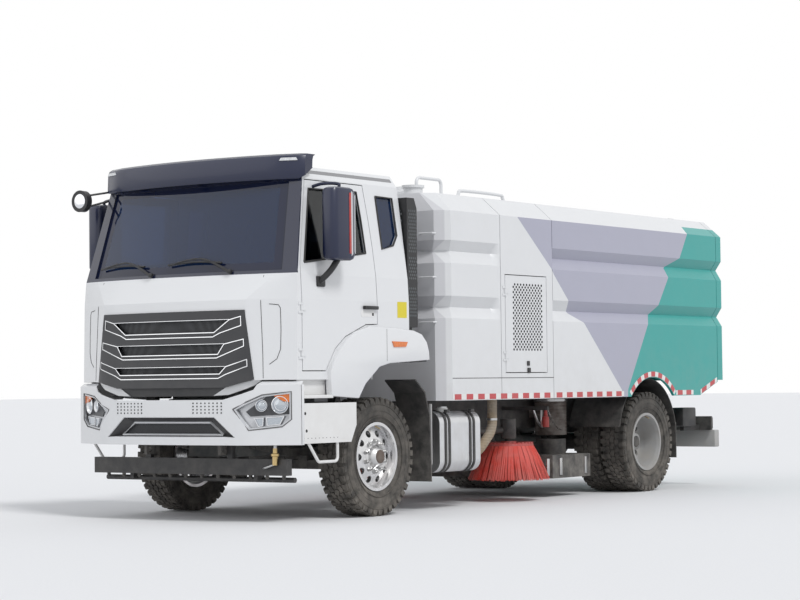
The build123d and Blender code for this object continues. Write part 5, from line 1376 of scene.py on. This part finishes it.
lowTrim = {
    "tank": (0.905, 0.612, 0.544, 0.556, 0.110),      # centre x and z, wide, high, corner radius
    "straps": (1.005, 1.065, 1.400, 1.460), "strap": (0.030, 0.004),      # width, thickness
    "buckles": [(1.150, 1.185, 1.025, 1.080, 0.875, 0.905, 0.004),
                (1.150, 1.185, 1.420, 1.475, 0.875, 0.905, 0.004)],
    "cap": [(0.0, 0.052), (0.034, 0.052), (0.042, 0.044), (0.044, 0.0)],
    # a clamp: place, the pipe's radius, half width, thickness, steps
    "clamps": (((1.080, 1.925, 0.800), 0.046, 0.010, 0.004, 32),
               ((0.650, 3.650, 0.960), 0.163, 0.012, 0.007, 48)),
    "flapEdge": [(1.212, 1.238, 0.706, 0.720, 0.420, 0.960, 0.003)],
    "valve": [(-0.05, 0.024), (0.02, 0.024), (0.025, 0.034), (0.045, 0.034), (0.05, 0.018), (0.09, 0.018)],
    "jet": [(0.0, 0.016), (0.028, 0.016), (0.036, 0.008), (0.036, 0.0)], "jets": 12,
    "firstJet": -0.99, "jetPitch": 0.18, "jetHeight": 0.394,
    # pipes of the spray bar: x, y from the bar's front, z
    "sprayUp": ((0.980, -0.020, 0.61), (0.980, -0.018, 0.65), (0.980, -0.010, 0.68)),
    "sprayDown": ((0.980, -0.020, 0.49), (0.880, -0.020, 0.46), (0.830, 0.010, 0.45)),
    "arm": [(0.430, 0.960, 3.090, 3.130, 0.865, 0.905, 0.004)],
    "pipe": ((0.88, 3.110, 0.870), (0.88, 3.110, 0.760), (0.86, 3.150, 0.700), (0.80, 3.160, 0.760),
             (0.78, 3.120, 0.870)),
    "cylinder": [(0.0, 0.034), (0.10, 0.034), (0.105, 0.014), (0.170, 0.014)],
    "chain": ((0.945, 3.120, 0.870), (0.800, 3.620, 0.660)), "chainSag": 0.05,
    "beam": [(-1.170, 1.170, 6.196, 6.300, 0.415, 0.600, 0.012)],
    "beamBrackets": [(0.360, 0.455, 5.900, 6.270, 0.560, 0.750, 0.006)],
    "boxes": [(0.900, 1.080, 5.650, 5.945, 0.650, 0.850, 0.016),
              (0.960, 1.010, 5.790, 6.170, 0.600, 0.662, 0.004)],
    "tailLamps": (("redLens", 0.700, 0.900), ("amberLens", 0.910, 1.010), ("clearLens", 1.020, 1.120)),
}


def makeTankTrim():
    straps, cap, clamps, flaps = (bmesh.new() for _ in range(4))
    x, z, wide, high, radius = lowTrim["tank"]
    width, thick = lowTrim["strap"]
    loops = [roundedLoop(wide, high, radius, (x, z)),
             roundedLoop(wide + 2 * thick, high + 2 * thick, radius + thick, (x, z))]
    for y in lowTrim["straps"]:
        rows = [[straps.verts.new(spot(a, y + out, b)) for a, b in loops[k]]
                for k, out in ((0, 0.0), (1, 0.0), (1, width), (0, width), (0, 0.0))]
        stitch(straps, rows)
    addBlocks(straps, lowTrim["buckles"], both=False)
    addTurned(cap, lowTrim["cap"], spot(1.080, 1.100, 0.882), steps=28)
    for place, radius, half, thick, steps in lowTrim["clamps"]:
        addTurned(clamps, [(-half, radius), (-half, radius + thick), (half, radius + thick), (half, radius)],
                  spot(*place), steps=steps, closed=True)
    addBlocks(flaps, lowTrim["flapEdge"])
    addPiece("tankStraps", straps, "blackPlastic")
    addPiece("tankCap", cap, "whiteTape")
    addPiece("clamps", clamps, "steel")
    addPiece("flapEdges", flaps, "greyPaint")


def makeSprayTrim():
    valve, pipes, jets = (bmesh.new() for _ in range(3))
    near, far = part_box("spray_bar")
    addTurned(valve, lowTrim["valve"], (0.980, near.y - 0.020, 0.530), steps=16, closed=True)
    for k in range(lowTrim["jets"]):
        place = (lowTrim["firstJet"] + lowTrim["jetPitch"] * k, (near.y + far.y) / 2, lowTrim["jetHeight"])
        addTurned(jets, lowTrim["jet"], place, (0, 0, -1), 12)
    for key, radius, count in (("sprayUp", 0.014, 10), ("sprayDown", 0.010, 8)):
        addPipe(pipes, [(x, near.y + y, z) for x, y, z in lowTrim[key]], radius, count, 4)
    addPiece("sprayFittings", valve, "brass")
    addPiece("sprayPipes", pipes, "steel")
    addPiece("sprayJets", jets, "frameBlack")


def makeLinkage():
    # the nozzle's draw bars and wear plates, and the hydraulic parts and chain above it
    bars, arm, pipe, cylinder, chain = (bmesh.new() for _ in range(5))
    near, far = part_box("nozzle")
    for side in (1, -1):
        for y in (near.y + 0.10, near.y + 0.34, far.y - 0.10):
            addBlock(bars, (side * 0.955, y - 0.025, near.z + 0.03),
                     (side * 0.972, y + 0.025, near.z + 0.20), 0.004)
        addPipe(bars, [(side * 0.62, near.y + 0.30, 0.40), (side * 0.62, near.y + 0.10, 0.47),
                       (side * 0.30, near.y - 0.05, 0.56)], 0.018, 10, 3)
    addBlocks(arm, lowTrim["arm"], both=False)
    addPipe(pipe, [spot(*p) for p in lowTrim["pipe"]], 0.012, 10, 5)
    addTurned(cylinder, lowTrim["cylinder"], spot(0.93, 3.11, 0.700), steps=20, closed=True)
    top, end = (Vector(spot(*p)) for p in lowTrim["chain"])
    line = [top.lerp(end, k / 10) - Vector((0, 0, lowTrim["chainSag"] * math.sin(math.pi * k / 10)))
            for k in range(11)]
    addPipe(chain, line, 0.007, 6)
    addPiece("nozzleBars", bars, "steel", "nozzle")
    addPiece("linkageArm", arm, "frameBlack")
    addPiece("hydraulicPipe", pipe, "steel")
    addPiece("liftCylinder", cylinder, "redPaint")
    addPiece("chain", chain, "clearLens")


def makeTail():
    beam, boxes = bmesh.new(), bmesh.new()
    addBlocks(beam, lowTrim["beam"], both=False)
    addBlocks(beam, lowTrim["beamBrackets"])
    addBlocks(boxes, lowTrim["boxes"])
    piece = addPiece("rearBeam", beam, "greyPaint")
    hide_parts("rear_guard")
    addPiece("tailBoxes", boxes, "blackPlastic")
    near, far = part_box("tail_lamps")
    for name, first, last in lowTrim["tailLamps"]:
        bm = bmesh.new()
        for side in (1, -1):
            addBlock(bm, (side * first, far.y, near.z + 0.02),
                     (side * last, far.y + 0.012, far.z - 0.02), 0.005)
        addPiece("tailLamp_" + name, bm, name)


makeCamera()
makeLight()
makeFloor()
kit = makeFinishes()
paintNodes()
print("finishes are on the frame")

rings = ringTree()
grids = gridTree()
makeTyres()
for name, side in sides:
    for axle in ("front", "rear"):
        makeWheel(name, side, axle)
makeBrushes()
print("wheels and brushes are dressed")

makeGrille()
makeBumper()
makeHeadlamps()
print("front is dressed")

makeVisor()
makeMirrors()
makeWipers()
makeFenders()
makeCabTrim()
print("cab is dressed")

makeTape()
makeBodyTrim()
print("body is dressed")

makeTankTrim()
makeSprayTrim()
makeLinkage()
makeTail()
print("the low pieces are dressed")
